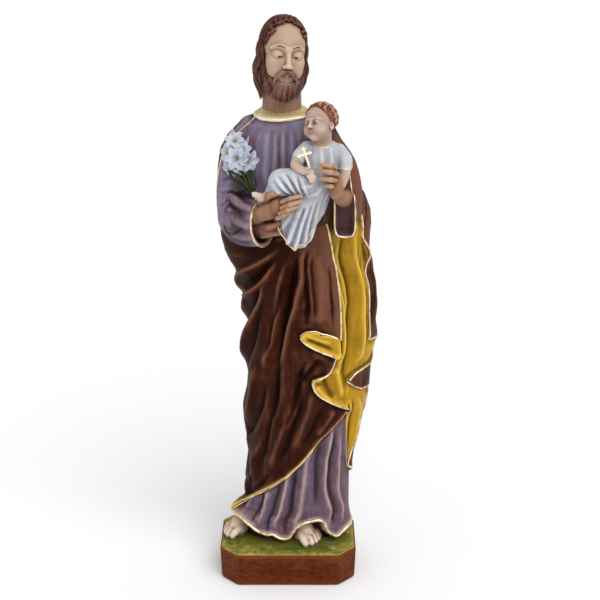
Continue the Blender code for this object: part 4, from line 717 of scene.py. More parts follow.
def add_foot(clay, place, side, toe_out, size):
    """A bare foot whose toes point forward; side is +1 when the great toe is on the viewer's left."""
    foot = Pose(place, turned(toe_out, 0, 0), size)
    clay.add(foot.strand([(0, 16, 17), (0, 3, 14), (-side, -9, 8.4)], [12, 12, 8.4]), 3)
    clay.add(foot.ball((0, -8, 5), (13, 12, 6.6)), 3)
    clay.add(foot.ball((-2 * side, 2, 9), (11, 11, 9)), 3)
    toes = [(-9.0, -25, 4.3), (-2.8, -27, 3.5), (2.8, -25.4, 3.3), (7.6, -22.2, 3.1), (11.6, -18.2, 2.8)]
    for across, tip, girth in toes:
        across *= side
        toe = [(0.75 * across, -4, 9.5), (0.9 * across, -12, 8), (across, tip + 6, 6),
               (across, tip + 2.6, 3.4)]
        clay.add(foot.strand(toe, [girth, 1.05 * girth, girth, 0.85 * girth], 2), 1.8)
    for (a, tip, girth), (b, other, next_girth) in zip(toes, toes[1:]):
        between = side * (a + girth + b - next_girth) / 2
        cleft = [(0.88 * between, -9, 13), (0.96 * between, -16, 10.6), (between, max(tip, other) - 0.5, 6)]
        clay.cut(foot.strand(cleft, [0.1, 0.45, 0.7]), 0.5)


def mirrored(points, side):
    """The points as they are on the viewer's right, or turned over to the left when side is -1."""
    return [(side * x, y, z) for x, y, z in points]


def over(centre, radii, round_degrees, down_degrees, lift=1.0):
    """The place on an ellipsoid so far round from the face and so far down from the crown."""
    a, d = math.radians(round_degrees), math.radians(down_degrees)
    return np.array((centre[0] + lift * radii[0] * math.sin(a) * math.sin(d),
                     centre[1] - lift * radii[1] * math.cos(a) * math.sin(d),
                     centre[2] + lift * radii[2] * math.cos(d)))


def add_lock(clay, head, path, girth, twist=0.5, start=0.0, strands=3):
    """A lock of hair: a few strands that turn about each other along a path, thinning to the tip."""
    path = np.array(path, float)
    ahead = np.gradient(path, axis=0)
    ahead /= np.linalg.norm(ahead, axis=1)[:, None]
    out = path - np.array((0, 5, 0))
    out -= (out * ahead).sum(1)[:, None] * ahead
    out /= np.linalg.norm(out, axis=1)[:, None]
    side = np.cross(ahead, out)
    share = np.linspace(0, 1, len(path))
    swell = girth * np.minimum(1, 0.55 + 2 * share) * (1 - 0.72 * share ** 3)
    for k in range(strands):
        turn = start + twist * 2 * math.pi * share + 2 * math.pi * k / strands
        line = path + 0.52 * swell[:, None] * (np.cos(turn)[:, None] * side + np.sin(turn)[:, None] * out)
        clay.add(head.strand(line, 0.56 * swell, 2), 0.35)


def add_face(clay, head, eye_width=8.6, eye_level=1.0, gape=1.0, mouth=1.0):
    """A calm, regular face with the eyes half lowered; points are for a head 74 units tall."""
    soft = 0.35 + 0.65 * head.height
    for side in (-1, 1):
        eye = (eye_width * side, -18.2, eye_level)
        clay.add(head.strand([(15.5 * side, -18.3, eye_level + 5.6), (9.6 * side, -23.6, eye_level + 7.6),
                              (3 * side, -25, eye_level + 6)], [1.3, 1.7, 1.3]), 3 * soft)
        clay.cut(head.ball((eye_width * side, -28, eye_level - 0.4), (6.4, 5.2, 4.2)), 3 * soft)
        clay.paint = "eyes"
        clay.add(head.ball(eye, (6.0, 5.9, 5.6)), 0.4 * soft)
        clay.paint = "flesh"
        lid = head.ball(eye, (6.7, 6.7, 6.4))
        for half, edge, way in ((lid, 1.4 * (2 - gape), (0, 0.2, -1)),
                                (shrunk(lid, 0.25), 2.0 + 0.9 * gape, (0, -0.1, 1))):
            clay.add(behind(half, head.at((0, 0, eye_level - edge)), head.turn @ np.array(way), 0.3),
                     0.4 * soft)
    clay.add(head.strand([(0, -24.4, eye_level + 5.5), (0, -27, eye_level - 1.5), (0, -30.4, -8.6)],
                         [2.0, 2.0, 2.6]), 2.4 * soft)
    clay.add(head.ball((0, -30, -9.6), (2.8, 2.5, 2.4)), 1.5 * soft)
    for side in (-1, 1):
        clay.add(head.ball((3.1 * side, -27.7, -10.2), (2.0, 2.7, 2.0)), 1.2 * soft)
        clay.cut(head.ball((1.8 * side, -29, -12.2), (0.8, 1.2, 0.8)), 0.6 * soft)
    wide, low = 5.2 * mouth, -17.4
    clay.paint = "lips"
    clay.add(head.strand([(-wide, -23.6, low - 1), (-0.35 * wide, -26, low), (0, -25.9, low - 0.5),
                          (0.35 * wide, -26, low), (wide, -23.6, low - 1)], [0.3, 0.95, 0.8, 0.95, 0.3]),
                          0.8 * soft)
    clay.add(head.strand([(-0.8 * wide, -23.9, low - 1.8), (0, -25.9, low - 2.6),
                          (0.8 * wide, -23.9, low - 1.8)],
                         [0.3, 1.2, 0.3]), 0.8 * soft)
    clay.paint = "flesh"


def comb(clay, head, top, bottom, count, girth, bulge, sway, waves, blend=0.4, phase=0.5):
    """Strands side by side from one line to another, swelling out between and waving together."""
    top, bottom = smooth_line(top, 8), smooth_line(bottom, 8)
    for k, share in enumerate(np.linspace(0, 1, count)):
        a, b = (np.array([np.interp(share, np.linspace(0, 1, len(line)), line[:, i]) for i in range(3)])
                for line in (top, bottom))
        t = np.linspace(0, 1, 9)[:, None]
        path = a + (b - a) * t
        out = path / np.linalg.norm(path, axis=1)[:, None]
        side = np.cross(out, b - a)
        side /= np.linalg.norm(side, axis=1)[:, None]
        lift = bulge * np.sin(math.pi * t) + (0.35 * girth if k % 3 == 0 else 0)
        wave = sway * np.sin(2 * math.pi * waves * t + phase * k) * np.minimum(1, 2.5 * t)
        path = path + lift * out + wave * side
        clay.add(head.strand(path, girth * np.array((0.6, 0.9, 1, 1, 1, 1, 0.95, 0.8, 0.45)), 2), blend)


def add_head(clay, head):
    """A grown head with a high hairline, its hair waving to the neck, and a short full beard."""
    clay.add(head.ball((0, 3, 9), (21.4, 28, 26)), 0)
    clay.add(head.ball((0, -6, -7), (18.4, 20.2, 26)), 5)
    clay.add(head.ball((0, -13, -28), (9.5, 10, 9)), 5)
    for side in (-1, 1):
        clay.add(head.ball((12 * side, -15.2, -6), (6.2, 7.8, 7)), 4)
        clay.add(head.ball((9 * side, -14.5, -14), (8, 8.5, 9)), 4)
    add_face(clay, head)

    clay.paint = "beard"
    for side in (-1, 1):
        clay.add(head.strand(mirrored([(20, 2, 2), (18.4, -4, -10), (15.8, -9, -21), (11.5, -12.5, -31),
                                       (0, -15.5, -36)], side), [2.0, 3.4, 5.0, 6.6, 7.8]), 2)
        comb(clay, head, mirrored([(21, 1, 7), (20.2, -4.5, -5), (18, -10.5, -13.5), (14, -16.8, -20),
                                   (9, -21.6, -24.2), (4, -24, -26), (0.6, -24.6, -26.4)], side),
             mirrored([(21, 4, -6), (19.4, 1, -17), (17.6, -4, -28), (14.8, -8.5, -37),
                       (10.4, -12.5, -41.5), (5, -15, -44.4), (0.6, -16, -45.4)], side),
             19, 1.25, 3.2, 0.75, 1.3)
        for lower in (0, 1.2, 2.4):
            hairs = [(0.7, -28, -13.4 - 0.5 * lower), (4.6, -27.4, -14.6 - 0.7 * lower),
                     (8.4, -25.2, -17.8 - 0.8 * lower), (11, -22.6, -23 - 0.5 * lower), (11.6, -20.6, -27.6)]
            clay.add(head.strand(mirrored(hairs, side), [0.8, 1.45, 1.4, 1.15, 0.7], 2), 0.45)

    clay.paint = "hair"
    middle, radii = np.array((0, 5.0, 11.0)), np.array((22.2, 28, 26.4))
    brow, brow_radii = np.array((0, -24, 9.5)), np.array((20.8, 20, 26.4))
    forehead = ellipsoid(head.at(brow), brow_radii * head.height, head.turn)
    clay.add(without(head.ball(middle, radii), forehead, 1.2), 0.4)

    def hairline(at):
        for down in range(10, 130, 2):
            if (((over(middle, radii, at, down) - brow) / brow_radii) ** 2).sum() < 1:
                return down
        return 130

    for k in range(40):
        at = 9 * k
        last = min(hairline((at + 180) % 360 - 180) - 6, 96)
        line = [over(middle, radii, at + 7 * math.sin(6.0 * t + 0.5 * k) * t, 6 + (last - 6) * t, 1.0)
                for t in np.linspace(0, 1, 8)]
        girths = np.interp(np.linspace(0, 1, 8), (0, 0.3, 0.9, 1), (0.9, 1.6, 1.7, 0.8))
        clay.add(head.strand(line, girths, 2), 0.4)
    for row, (above, size) in enumerate(((13, 1.7), (4, 1.8))):
        for k in range(15):
            at = -70 + 10 * k + 5 * row
            line = hairline(at)
            if line > 118:
                continue
            curl = 6 * (-1) ** (k + row)
            wave = ((-1, -9, 1.02), (1, -6, 1.06), (0.9, -1, 1.07), (-0.7, 2, 1.05), (-0.9, 5, 1.0))
            clay.add(head.strand([over(middle, radii, at + aside * curl, line - above + down, lift)
                                  for aside, down, lift in wave], [0.8, size, size, 0.9 * size, 0.7], 2), 0.4)
    for layer, (grow, length, girth) in enumerate(((0.0, 39, 2.3), (1.2, 33, 2.1))):
        count = (23, 20)[layer]
        for k in range(count):
            at = 66 + 6 * layer + (228 - 12 * layer) * k / (count - 1)
            a = math.radians(at)
            side = np.array((math.sin(a), -math.cos(a)))
            drop = length + 5 * smooth_step((abs((at + 180) % 360 - 180) - 80) / 60) + (0, 3, 1, 4)[k % 4]
            line = []
            for t in np.linspace(0, 1, 11):
                out = 1.0 + 0.10 * math.sin(math.pi * min(1, 0.85 * t)) - 0.17 * t ** 3
                sway = 1.5 * math.sin(12 * t + 0.75 * k + 2 * layer)
                wave = 1.5 * math.sin(11.5 * t + 0.3 * math.sin(1.7 * k) + layer) * min(1, 3 * t)
                line.append((side[0] * ((21.6 + grow) * out + wave) - side[1] * sway,
                             5.5 + side[1] * ((26 + grow) * out + wave) + side[0] * sway,
                             12 - (12 + drop) * t))
            girths = girth * np.array((0.5, 0.8, 1, 1, 1, 1, 1, 0.95, 0.85, 0.65, 0.35))
            clay.add(head.strand(line, girths, 2), 0.45)


def add_child_head(clay, head):
    """A small child's head, round and short-haired; points are for a head 74 units tall."""
    clay.add(head.ball((0, 4, 8), (26, 30, 27)), 1)
    clay.add(head.ball((0, -6, -9), (21.5, 20, 23)), 4)
    clay.add(head.ball((0, -17, -27), (7, 7, 6)), 4)
    for side in (-1, 1):
        clay.add(head.ball((11.5 * side, -15, -14), (9.5, 9, 9.5)), 4)
    add_face(clay, head, 9.6, -2.0, 1.35, 0.72)
    clay.paint = "flesh"
    for side in (-1, 1):
        clay.add(head.ball((24 * side, 4, -6), (3.4, 5, 7.4)), 1)
        clay.cut(head.ball((27 * side, 1.6, -5), (2, 2.6, 4)), 1)
    clay.paint = "hair"
    middle, radii = np.array((0, 7.5, 11.5)), np.array((28, 30, 28.6))
    forehead = ellipsoid(head.at((0, -28, 2)), np.array((25, 24, 28)) * head.height, head.turn)
    clay.add(without(head.ball(middle, radii), forehead, 1.2), 0.5)
    rows = ((8, 9, 26, 0), (30, 15, 26, 24), (52, 19, 26, 52), (74, 19, 26, 76), (94, 17, 22, 96))
    for row, (down, count, reach, bare) in enumerate(rows):
        for k in range(count):
            at = 360 * (k + 0.5 * (row % 2)) / count
            if abs((at + 180) % 360 - 180) < bare:
                continue
            curl = 7 * (-1) ** k
            add_lock(clay, head, [over(middle, radii, at + curl * math.sin(3.1 * t), down + reach * t, 1.0)
                                  for t in (0, 0.25, 0.5, 0.75, 1)], 3.0, 0.5, k)


def without_crumbs(points, quads, least=300):
    """The net without any loose piece of fewer points than the least."""
    owner = np.arange(len(points))
    while True:
        low = owner[quads].min(1)
        lowest = owner.copy()
        for corner in range(4):
            np.minimum.at(lowest, quads[:, corner], low)
        lowest = lowest[lowest]
        if (lowest == owner).all():
            break
        owner = lowest
    counts = np.bincount(owner, minlength=len(points))
    keep = counts[owner] >= least
    index = np.cumsum(keep) - 1
    return points[keep], index[quads[keep[quads[:, 0]]]]


def add_body(clay, sizes, unit, robe_form):
    """Robes, plinth, feet, sleeves and the child's gown; the heads and hands are pieces of their own."""
    clay.paint = "robe"
    clay.add(robe_form, 0)
    clay.paint = "plinth"
    clay.add(plinth(sizes, unit), 1.0)
    clay.paint = "flesh"
    add_foot(clay, (16, -9, 0), 1, 29, 1.04)
    add_foot(clay, (-52, 4, 0), -1, -46, 0.92)

    clay.paint = "mantle"
    clay.add(tube([(-36, 14, 450), (-50, 12, 425), (-52, 6, 378), (-50, 2, 345)], [14, 18.5, 20, 18]), 5)
    clay.add(tube([(38, 10, 446), (47, 6, 420), (56, -2, 394), (56, -18, 388)], [12, 17, 17, 14]), 5)
    clay.add(tube([(46, -6, 440), (58, -14, 420), (64, -20, 396), (64.5, -22, 372)], [9, 11, 11, 9]), 5)
    clay.paint = "tunic"
    clay.add(tube([(-34, 6, 452), (-46, 2, 428), (-50, -6, 392), (-47, -12, 366)], [13, 18, 21, 23]), 3)
    clay.add(tube([(-46, -14, 368), (-42, -26, 368)], [22, 20]), 4)
    clay.paint = "sleeve"
    bell, cuff = left_sleeve()
    clay.add(behind(bell, *cuff, 0.8), 4)
    for line, girth in (([(-66, -2, 380), (-58, -27, 375), (-48, -47, 371), (-39, -60, 369)], 4.2),
                        ([(-64, -4, 362), (-55, -28, 357), (-46, -46, 355), (-36, -59, 357)], 4.0),
                        ([(-58, -4, 348), (-48, -24, 345), (-40, -38, 346), (-31, -49, 349)], 3.4),
                        ([(-63, 0, 402), (-57, -21, 393), (-47, -42, 387), (-36, -55, 385)], 4.0),
                        ([(-34, -10, 410), (-42, -22, 401), (-53, -26, 393), (-60, -24, 384)], 3.8),
                        ([(-59, 2, 424), (-56, -12, 415), (-46, -22, 409), (-37, -24, 405)], 3.6)):
        clay.add(tube(line, [0.5 * girth, girth, girth, 0.7 * girth]), 4)
    # painted shade: the inside of the left sleeve's mouth and a lump beneath the forearm, painted dark brown
    clay.paint = "shade"
    clay.cut(behind(shrunk(bell, 2.2), cuff[0] - 9 * cuff[1], -cuff[1], 0.3), 0.6, "shade")
    clay.add(tube([(-30, -44, 362), (-18, -52, 364), (-6, -54, 368)], [9, 9, 8]), 3)
    for line in ([(-24, -54, 357), (-16, -58, 361), (-6, -60, 362)],
                 [(-26, -52, 366), (-17, -60, 368), (-8, -62, 372)]):
        clay.add(tube(line, [2.5, 3.5, 2.5]), 1.5)
    clay.paint = "sleeve"
    sleeve = block((57, -42, 376), (11.0, 15, 21.5), 6)
    hollow = block((57, -60, 378), (9.6, 14, 20.2), 5)
    clay.add(without(sleeve, hollow, 1.2), 2)
    # the inside of the hanging sleeve is painted dark, as painted shade
    clay.forms.append((hollow, "dusk"))

    clay.paint = "gown"
    clay.add(ellipsoid((35, -48, 434), (22, 14, 19), turned(0, 8, 0)), 2)
    for line, girths, blend in (([(33, -48, 430), (28, -52, 410), (22, -52, 396)], [17, 17, 15], 3),
                                ([(50, -47, 440), (55, -50, 433), (56, -52, 427)], [8, 8.5, 7.5], 2),
                                ([(20, -50, 443), (13, -56, 438), (11, -60, 434)], [8, 7, 6], 2),
                                ([(26, -54, 407), (10, -62, 414), (-5, -67, 415)], [15, 13, 12.5], 2),
                                ([(-5, -66, 415), (-11, -64, 408), (-15, -63, 404)], [11.5, 8, 5.5], 2),
                                ([(24, -52, 404), (14, -56, 384), (9, -54, 360)], [15, 14, 9], 3),
                                ([(32, -50, 402), (27, -50, 384), (21, -48, 366)], [12, 11, 7], 2)):
        clay.add(tube(line, girths), blend)
    clay.add(ellipsoid((9, -56, 376), (19, 8.5, 31), turned(0, -9, 0)), 4)
    clay.add(ellipsoid((-2, -57, 377), (9, 6, 12), turned(0, 24, 0)), 3)
    for line, girth in (([(14, -66, 396), (4, -65, 380), (-6, -60, 366)], 2.2),
                        ([(17, -66, 394), (8, -65.5, 372), (1, -61, 352)], 2.4),
                        ([(22, -66, 394), (14, -65.5, 370), (8, -60, 346)], 2.4),
                        ([(27, -65, 396), (21, -63.5, 374), (17, -57, 350)], 2.3),
                        ([(33, -63, 398), (28, -60, 380), (25, -54, 362)], 2.2),
                        ([(40, -61, 402), (34, -58, 390), (29, -54, 374)], 2.0)):
        clay.add(tube(line, [0.5 * girth, girth, 0.9 * girth]), 2.4)
    for line, girth in (([(10, -69, 390), (2, -68, 374), (-3, -62, 356)], 1.5),
                        ([(17, -69, 388), (11, -68.5, 370), (5, -63, 344)], 1.5),
                        ([(24, -68.5, 390), (18, -67, 370), (13, -61, 344)], 1.6),
                        ([(30, -66.5, 392), (25, -64, 374), (21, -58, 350)], 1.4)):
        clay.cut(tube(line, [0.4 * girth, girth, 1.3 * girth]), 2.0)
    # folds and creases laid on the front of the gown: across the lap, then on the chest
    for line, girth in (([(-13, 0, 414), (-8, 0, 407), (0, 0, 401)], 1.5),
                        ([(-10, 0, 421), (-3, 0, 412), (4, 0, 403)], 1.8),
                        ([(-3, 0, 424), (3, 0, 414), (9, 0, 403)], 1.8),
                        ([(6, 0, 423), (10, 0, 413), (14, 0, 403)], 1.7),
                        ([(15, 0, 419), (17, 0, 410), (20, 0, 402)], 1.5)):
        clay.add(tube(clay.front(line, 0.8), (0.5, girth, 0.8), 1), 1.6)
    for line, girth in (([(-12, 0, 418), (-6, 0, 410), (2, 0, 402)], 1.0),
                        ([(-7, 0, 423), (0, 0, 413), (6.5, 0, 403)], 1.2),
                        ([(1, 0, 424), (6.5, 0, 414), (11.5, 0, 403)], 1.2),
                        ([(11, 0, 422), (13.5, 0, 411), (17, 0, 402)], 1.0)):
        clay.cut(tube(clay.front(line, 0.0), (0.3, girth, 0.6), 1), 1.6)
    for line, girth in (([(24, 0, 446), (21, 0, 434), (24, 0, 420)], 1.4),
                        ([(33, 0, 446), (34, 0, 434), (33, 0, 418)], 1.6),
                        ([(42, 0, 445), (43, 0, 434), (41, 0, 422)], 1.4),
                        ([(30, 0, 417), (23, 0, 412), (14, 0, 411)], 1.4),
                        ([(35, 0, 412), (29, 0, 404), (21, 0, 401)], 1.5)):
        clay.add(tube(clay.front(line, 0.9), (0.4, girth, 0.5), 1), 2.4)
    # creases of the sleeve at the elbow
    clay.paint = "sleeve"
    for line, girth in (([(-66, 0, 392), (-57, 0, 396), (-46, 0, 393)], 1.5),
                        ([(-64, 0, 405), (-56, 0, 408), (-47, 0, 404)], 1.2),
                        ([(-60, 0, 353), (-52, 0, 357), (-44, 0, 365)], 1.1),
                        ([(-64, 0, 362), (-58, 0, 352), (-50, 0, 348)], 1.1),
                        ([(-66, 0, 380), (-60, 0, 384), (-50, 0, 381)], 1.0)):
        clay.cut(tube(clay.front(line, 0.0), (0.3, girth, 0.4), 1), 2.4)


def left_sleeve():
    """The wide sleeve on the viewer's left, with the middle of its mouth and the way the mouth faces."""
    mouth, way = np.array((-24.5, -50.0, 369.0)), np.array((0.80, -0.60, 0.10))
    way /= np.linalg.norm(way)
    bell = tube([(-46, -16, 367), (-36, -35, 367), (-18, -56, 369)], [21, 18.5, 17])
    return Form(bell.low - 6, bell.high + 6, stretched(bell.distance, 369, 1.30)), (mouth, way)


def stretched(distance, level, ratio):
    """A distance for the same form made taller about a level."""
    return lambda x, y, z: distance(x, y, level + (z - level) / ratio)


def add_finger(clay, root, tip, girth, bow):
    """A finger from its knuckle to its tip, bent at the middle joint, with a swelling at that joint."""
    root, tip = np.array(root, float), np.array(tip, float)
    joint, last = root + (tip - root) * 0.46 + bow, root + (tip - root) * 0.78 + np.array(bow) * 0.72
    clay.add(tube([root, joint, last, tip], [girth, 0.98 * girth, 0.86 * girth, 0.7 * girth], 2), 0.5)
    clay.add(ellipsoid(joint + np.array(bow) * 0.04, 1.04 * girth), 0.8)


def add_hands(clay):
    """Both of the man's hands, and the child's arms, foot and little cross."""
    clay.paint = "hands"
    clay.add(tube([(-40, -34, 370), (-31, -50, 377), (-23, -60, 382.5)], [9, 9, 8]), 1)
    clay.add(ellipsoid((-15, -66, 387.5), (14, 7, 9), turned(0, -32, 0)), 4)
    clay.add(ellipsoid((-8, -69.5, 389.5), (7.5, 5.5, 9.5), turned(0, -24, 0)), 2)
    for tip, root, girth in (((13.8, -75, 402.6), (-4, -73, 396.5), 2.7),
                             ((13.4, -77, 398), (-4, -75, 391), 2.8),
                             ((10.6, -77.5, 393.2), (-6, -75, 385.8), 2.7),
                             ((5.4, -76, 387.6), (-8.5, -73.5, 381), 2.4)):
        add_finger(clay, root, tip, girth, (0, -2.4, 1.2))
    clay.add(tube([(-23, -62, 393), (-17, -69, 401.5), (-11, -72, 405), (-4.5, -73, 406.4)],
                  [4.6, 3.7, 3.3, 2.5], 3), 1.2)
    clay.add(tube([(59, -22, 389), (57, -40, 391.5), (53, -58, 397), (48, -67, 404)], [9, 9, 7.6, 7]), 1.5)
    clay.add(ellipsoid((46.5, -70, 414), (7.5, 6.5, 14), turned(0, -10, 0)), 3)
    for tip, root, girth in (((32, -75, 433.4), (46, -73, 430), 2.8),
                             ((32.6, -77, 428.2), (47, -75, 424.6), 3.0),
                             ((33.6, -77, 420.6), (46.5, -75, 418.4), 2.9),
                             ((36, -75, 413.2), (45, -73.5, 412), 2.6)):
        add_finger(clay, root, tip, girth, (1.0, -4.4, 1.2))
    clay.paint = "child"
    clay.add(tube([(56, -50, 432), (56, -54, 420), (52, -60, 410)], [5.8, 5.6, 5]), 1)
    clay.add(tube([(11, -58, 436), (9, -66, 431), (14, -70, 427.5), (20, -71.5, 426)], [5.4, 5.2, 4.4, 3.7]),
             1)
    clay.add(ellipsoid((22.5, -72.5, 424.8), (4.4, 3, 4)), 1)
    for k, (tip_x, tip_z) in enumerate(((28.2, 421.5), (27, 418.8), (25, 417), (22.6, 416.4))):
        finger = [(23.6 - 1.1 * k, -74.4, 425 - 0.9 * k), (26.2 - 1.2 * k, -76.2, 422.6 - 0.9 * k),
                  (tip_x, -75, tip_z)]
        clay.add(tube(finger, [1.5, 1.45, 1.1], 2), 0.25)
    clay.add(tube([(19, -73, 429), (22, -75, 431)], [1.6, 1.2]), 0.5)
    clay.add(tube([(-13, -63, 404), (-20, -66, 400.4), (-25, -67, 399)], [4.6, 4.2, 4.0]), 1)
    clay.add(tube([(-21.5, -66, 398), (-26, -68, 401), (-31, -68.5, 402.5)], [3.6, 3.4, 2.4]), 1)
    for k in range(4):
        toe = [(-29 + 0.5 * k, -69 + 0.4 * k, 404.5 - 1.9 * k),
               (-32.4 + 0.9 * k, -69.5 + 0.4 * k, 404.4 - 2.0 * k)]
        clay.add(tube(toe, [1.25 - 0.1 * k, 1.15 - 0.1 * k]), 0.3)
    clay.paint = "gold"
    clay.add(tube([(21.4, -74.5, 433), (16, -75.5, 449)], [1.15, 1.15]), 0.2)
    clay.add(tube([(11.6, -75.5, 441.5), (22.4, -75, 445)], [1.1, 1.1]), 0.2)
    for tip in ((16, -75.5, 449), (11.6, -75.5, 441.5), (22.4, -75, 445)):
        clay.add(ellipsoid(tip, 1.75), 0.3)


def paint_margins(points, forms, sheet, cloths):
    """For each paint, how far inside its own patch each point lies, in figure units."""
    x, y, z = points.T
    depths = {}

    def lay(paint, near, value):
        table = depths.setdefault(paint, np.full(len(points), 40.0))
        table[near] = np.minimum(table[near], value)

    for form, paint in forms:
        near = np.flatnonzero(((points > form.low - 7) & (points < form.high + 7)).all(1))
        if not len(near):
            continue
        place = x[near], y[near], z[near]
        if paint == "robe":
            radius, slope = (sheet.sample(table, *place) for table in sheet.finished)
            right, back = sheet.centre(place[2])
            gap = np.abs(np.hypot(place[0] - right, place[1] - back) - radius) / slope
            for cloth, table in cloths.items():
                lay(cloth, near, gap + np.maximum(0, -sheet.sample(table, *place)))
            continue
        gap = np.abs(form.distance(*place))
        if paint == "plinth":
            lay("grass", near, gap + np.maximum(0, -0.3 - place[2]))
            lay("plinth", near, gap + np.maximum(0, place[2] + 0.3))
        else:
            lay(paint, near, gap)
    margins = {}
    for paint, depth in depths.items():
        others = [other for name, other in depths.items() if name != paint]
        margins[paint] = np.clip((np.minimum.reduce(others) if others else 40.0) - depth, -9, 9)
    return margins


def mesh_of(name, points, faces):
    """A mesh from arrays of points and of faces with equal numbers of corners."""
    mesh = bpy.data.meshes.new(name)
    mesh.vertices.add(len(points))
    mesh.vertices.foreach_set("co", np.ascontiguousarray(points, np.float32).ravel())
    mesh.loops.add(faces.size)
    mesh.loops.foreach_set("vertex_index", faces.astype(np.int32).ravel())
    mesh.polygons.add(len(faces))
    mesh.polygons.foreach_set("loop_start", np.arange(0, faces.size, faces.shape[1], dtype=np.int32))
    mesh.update(calc_edges=True)
    mesh.shade_smooth()
    return mesh


def place(mesh):
    """An object for the mesh or the curve, in the scene."""
    piece = bpy.data.objects.new(mesh.name, mesh)
    bpy.context.scene.collection.objects.link(piece)
    return piece


def baked(piece, name):
    """The piece with its modifiers made part of a plain mesh."""
    graph = bpy.context.evaluated_depsgraph_get()
    mesh = bpy.data.meshes.new_from_object(piece.evaluated_get(graph), depsgraph=graph)
    old = piece.data
    bpy.data.objects.remove(piece)
    (bpy.data.meshes if isinstance(old, bpy.types.Mesh) else bpy.data.curves).remove(old)
    mesh.name = name
    return place(mesh)


def cast(name, clay, decals=(), sheet=None, cloths=None):
    """Draws the clay's surface, thins it to the most triangles allowed, and marks where each paint goes."""
    sizes, _, unit, lift = settings()
    clay.close_corners()
    points, quads = without_crumbs(*clay.surface())
    piece = place(mesh_of(name, points, quads))
    if 2 * len(quads) > sizes.facets:
        thin = piece.modifiers.new("Thin", "DECIMATE")
        thin.ratio = sizes.facets / (2 * len(quads))
        piece = baked(piece, name)
    mesh = piece.data
    points = np.zeros(3 * len(mesh.vertices), np.float32)
    mesh.vertices.foreach_get("co", points)
    points = points.reshape(-1, 3).astype(float)
    margins = paint_margins(points, clay.forms, sheet, cloths)
    tables = {"in_" + key: value for key, value in margins.items()}
    for paint, form in decals:
        inside = -form.distance(*points.T)
        tables["in_" + paint] = np.maximum(tables.get("in_" + paint, -9.0), np.clip(inside, -9, 9))
    tables["fine"] = clay.relief(points, 1.3)
    tables["broad"] = clay.relief(points, 4.0)
    for key, value in tables.items():
        mesh.attributes.new(key, "FLOAT", "POINT").data.foreach_set("value", value.astype(np.float32))
    mesh.vertices.foreach_set("co", (points * unit + (0, 0, lift)).astype(np.float32).ravel())
    mesh.shade_smooth()
    mesh.update()
    return piece


class Tree:
    """Short ways to add and join nodes."""

    def __init__(self, tree):
        self.tree = tree

    def node(self, kind, settings=(), **inputs):
        """A new node with its settings, and its inputs joined or set."""
        node = self.tree.nodes.new(kind)
        for key, value in dict(settings).items():
            setattr(node, key, value)
        return self.fill(node, **inputs)

    def fill(self, node, **inputs):
        """Joins or sets a node's inputs, by name or as an underscore and a number."""
        for key, value in inputs.items():
            socket = node.inputs[int(key[1:])] if key[0] == "_" else node.inputs[key.replace("_", " ")]
            if isinstance(value, bpy.types.NodeSocket):
                self.tree.links.new(value, socket)
            elif value is not None:
                socket.default_value = value
        return node

    def get(self, kind, settings=(), **inputs):
        """The first output of a new node."""
        return self.node(kind, settings, **inputs).outputs[0]

    def remap(self, value, low, high, top=1.0):
        """0 at the low value, the top at the high one, and held beyond both."""
        return self.get("ShaderNodeMapRange", Value=value, From_Min=low, From_Max=high, To_Max=top)

    def noise(self, vector, scale, detail, roughness=0.5):
        return self.get("ShaderNodeTexNoise", Vector=vector, Scale=scale, Detail=detail, Roughness=roughness)

    def math(self, operation, a, b=0.0, c=0.0):
        return self.node("ShaderNodeMath", {"operation": operation}, _0=a, _1=b, _2=c).outputs[0]

    def mix(self, share, a, b):
        return self.node("ShaderNodeMix", {"data_type": "RGBA"}, _0=share, _6=a, _7=b).outputs[2]

    def read(self, name):
        """A value kept at each point of the mesh."""
        return self.node("ShaderNodeAttribute", {"attribute_name": name}).outputs["Fac"]

    def ramp(self, share, stops):
        """Colours read off a ramp, whose stops are places and colours."""
        node = self.node("ShaderNodeValToRGB", _0=share)
        band = node.color_ramp
        while len(band.elements) < len(stops):
            band.elements.new(1)
        for element, (at, colour) in zip(band.elements, stops):
            element.position, element.color = at, (*colour, 1)
        return node.outputs[0]


def plain(name):
    """A new material, its tree, its shader, and the place that its textures are read at."""
    material = bpy.data.materials.new(name)
    material.use_nodes = True
    tree = Tree(material.node_tree)
    return (material, tree, material.node_tree.nodes["Principled BSDF"],
            tree.node("ShaderNodeTexCoord").outputs["Object"])


# Sizes of the textures, the tone of flat places, the mantle's painted highlight, and the chest's lavender
# tint
GRAIN_SCALE, BRUSH_SCALE, BLOTCH_SCALE, FLAT_TONE = 1500, 300, 70, 0.40
MANTLE_HIGHLIGHT, LAVENDER = 0.75, (0.30, 0.28, 0.46, 1)


def scaled(colour, factor, tint=(1, 1, 1)):
    """The colour made darker or lighter, and tinted."""
    return tuple(min(1.0, c * factor * t) for c, t in zip(colour, tint))


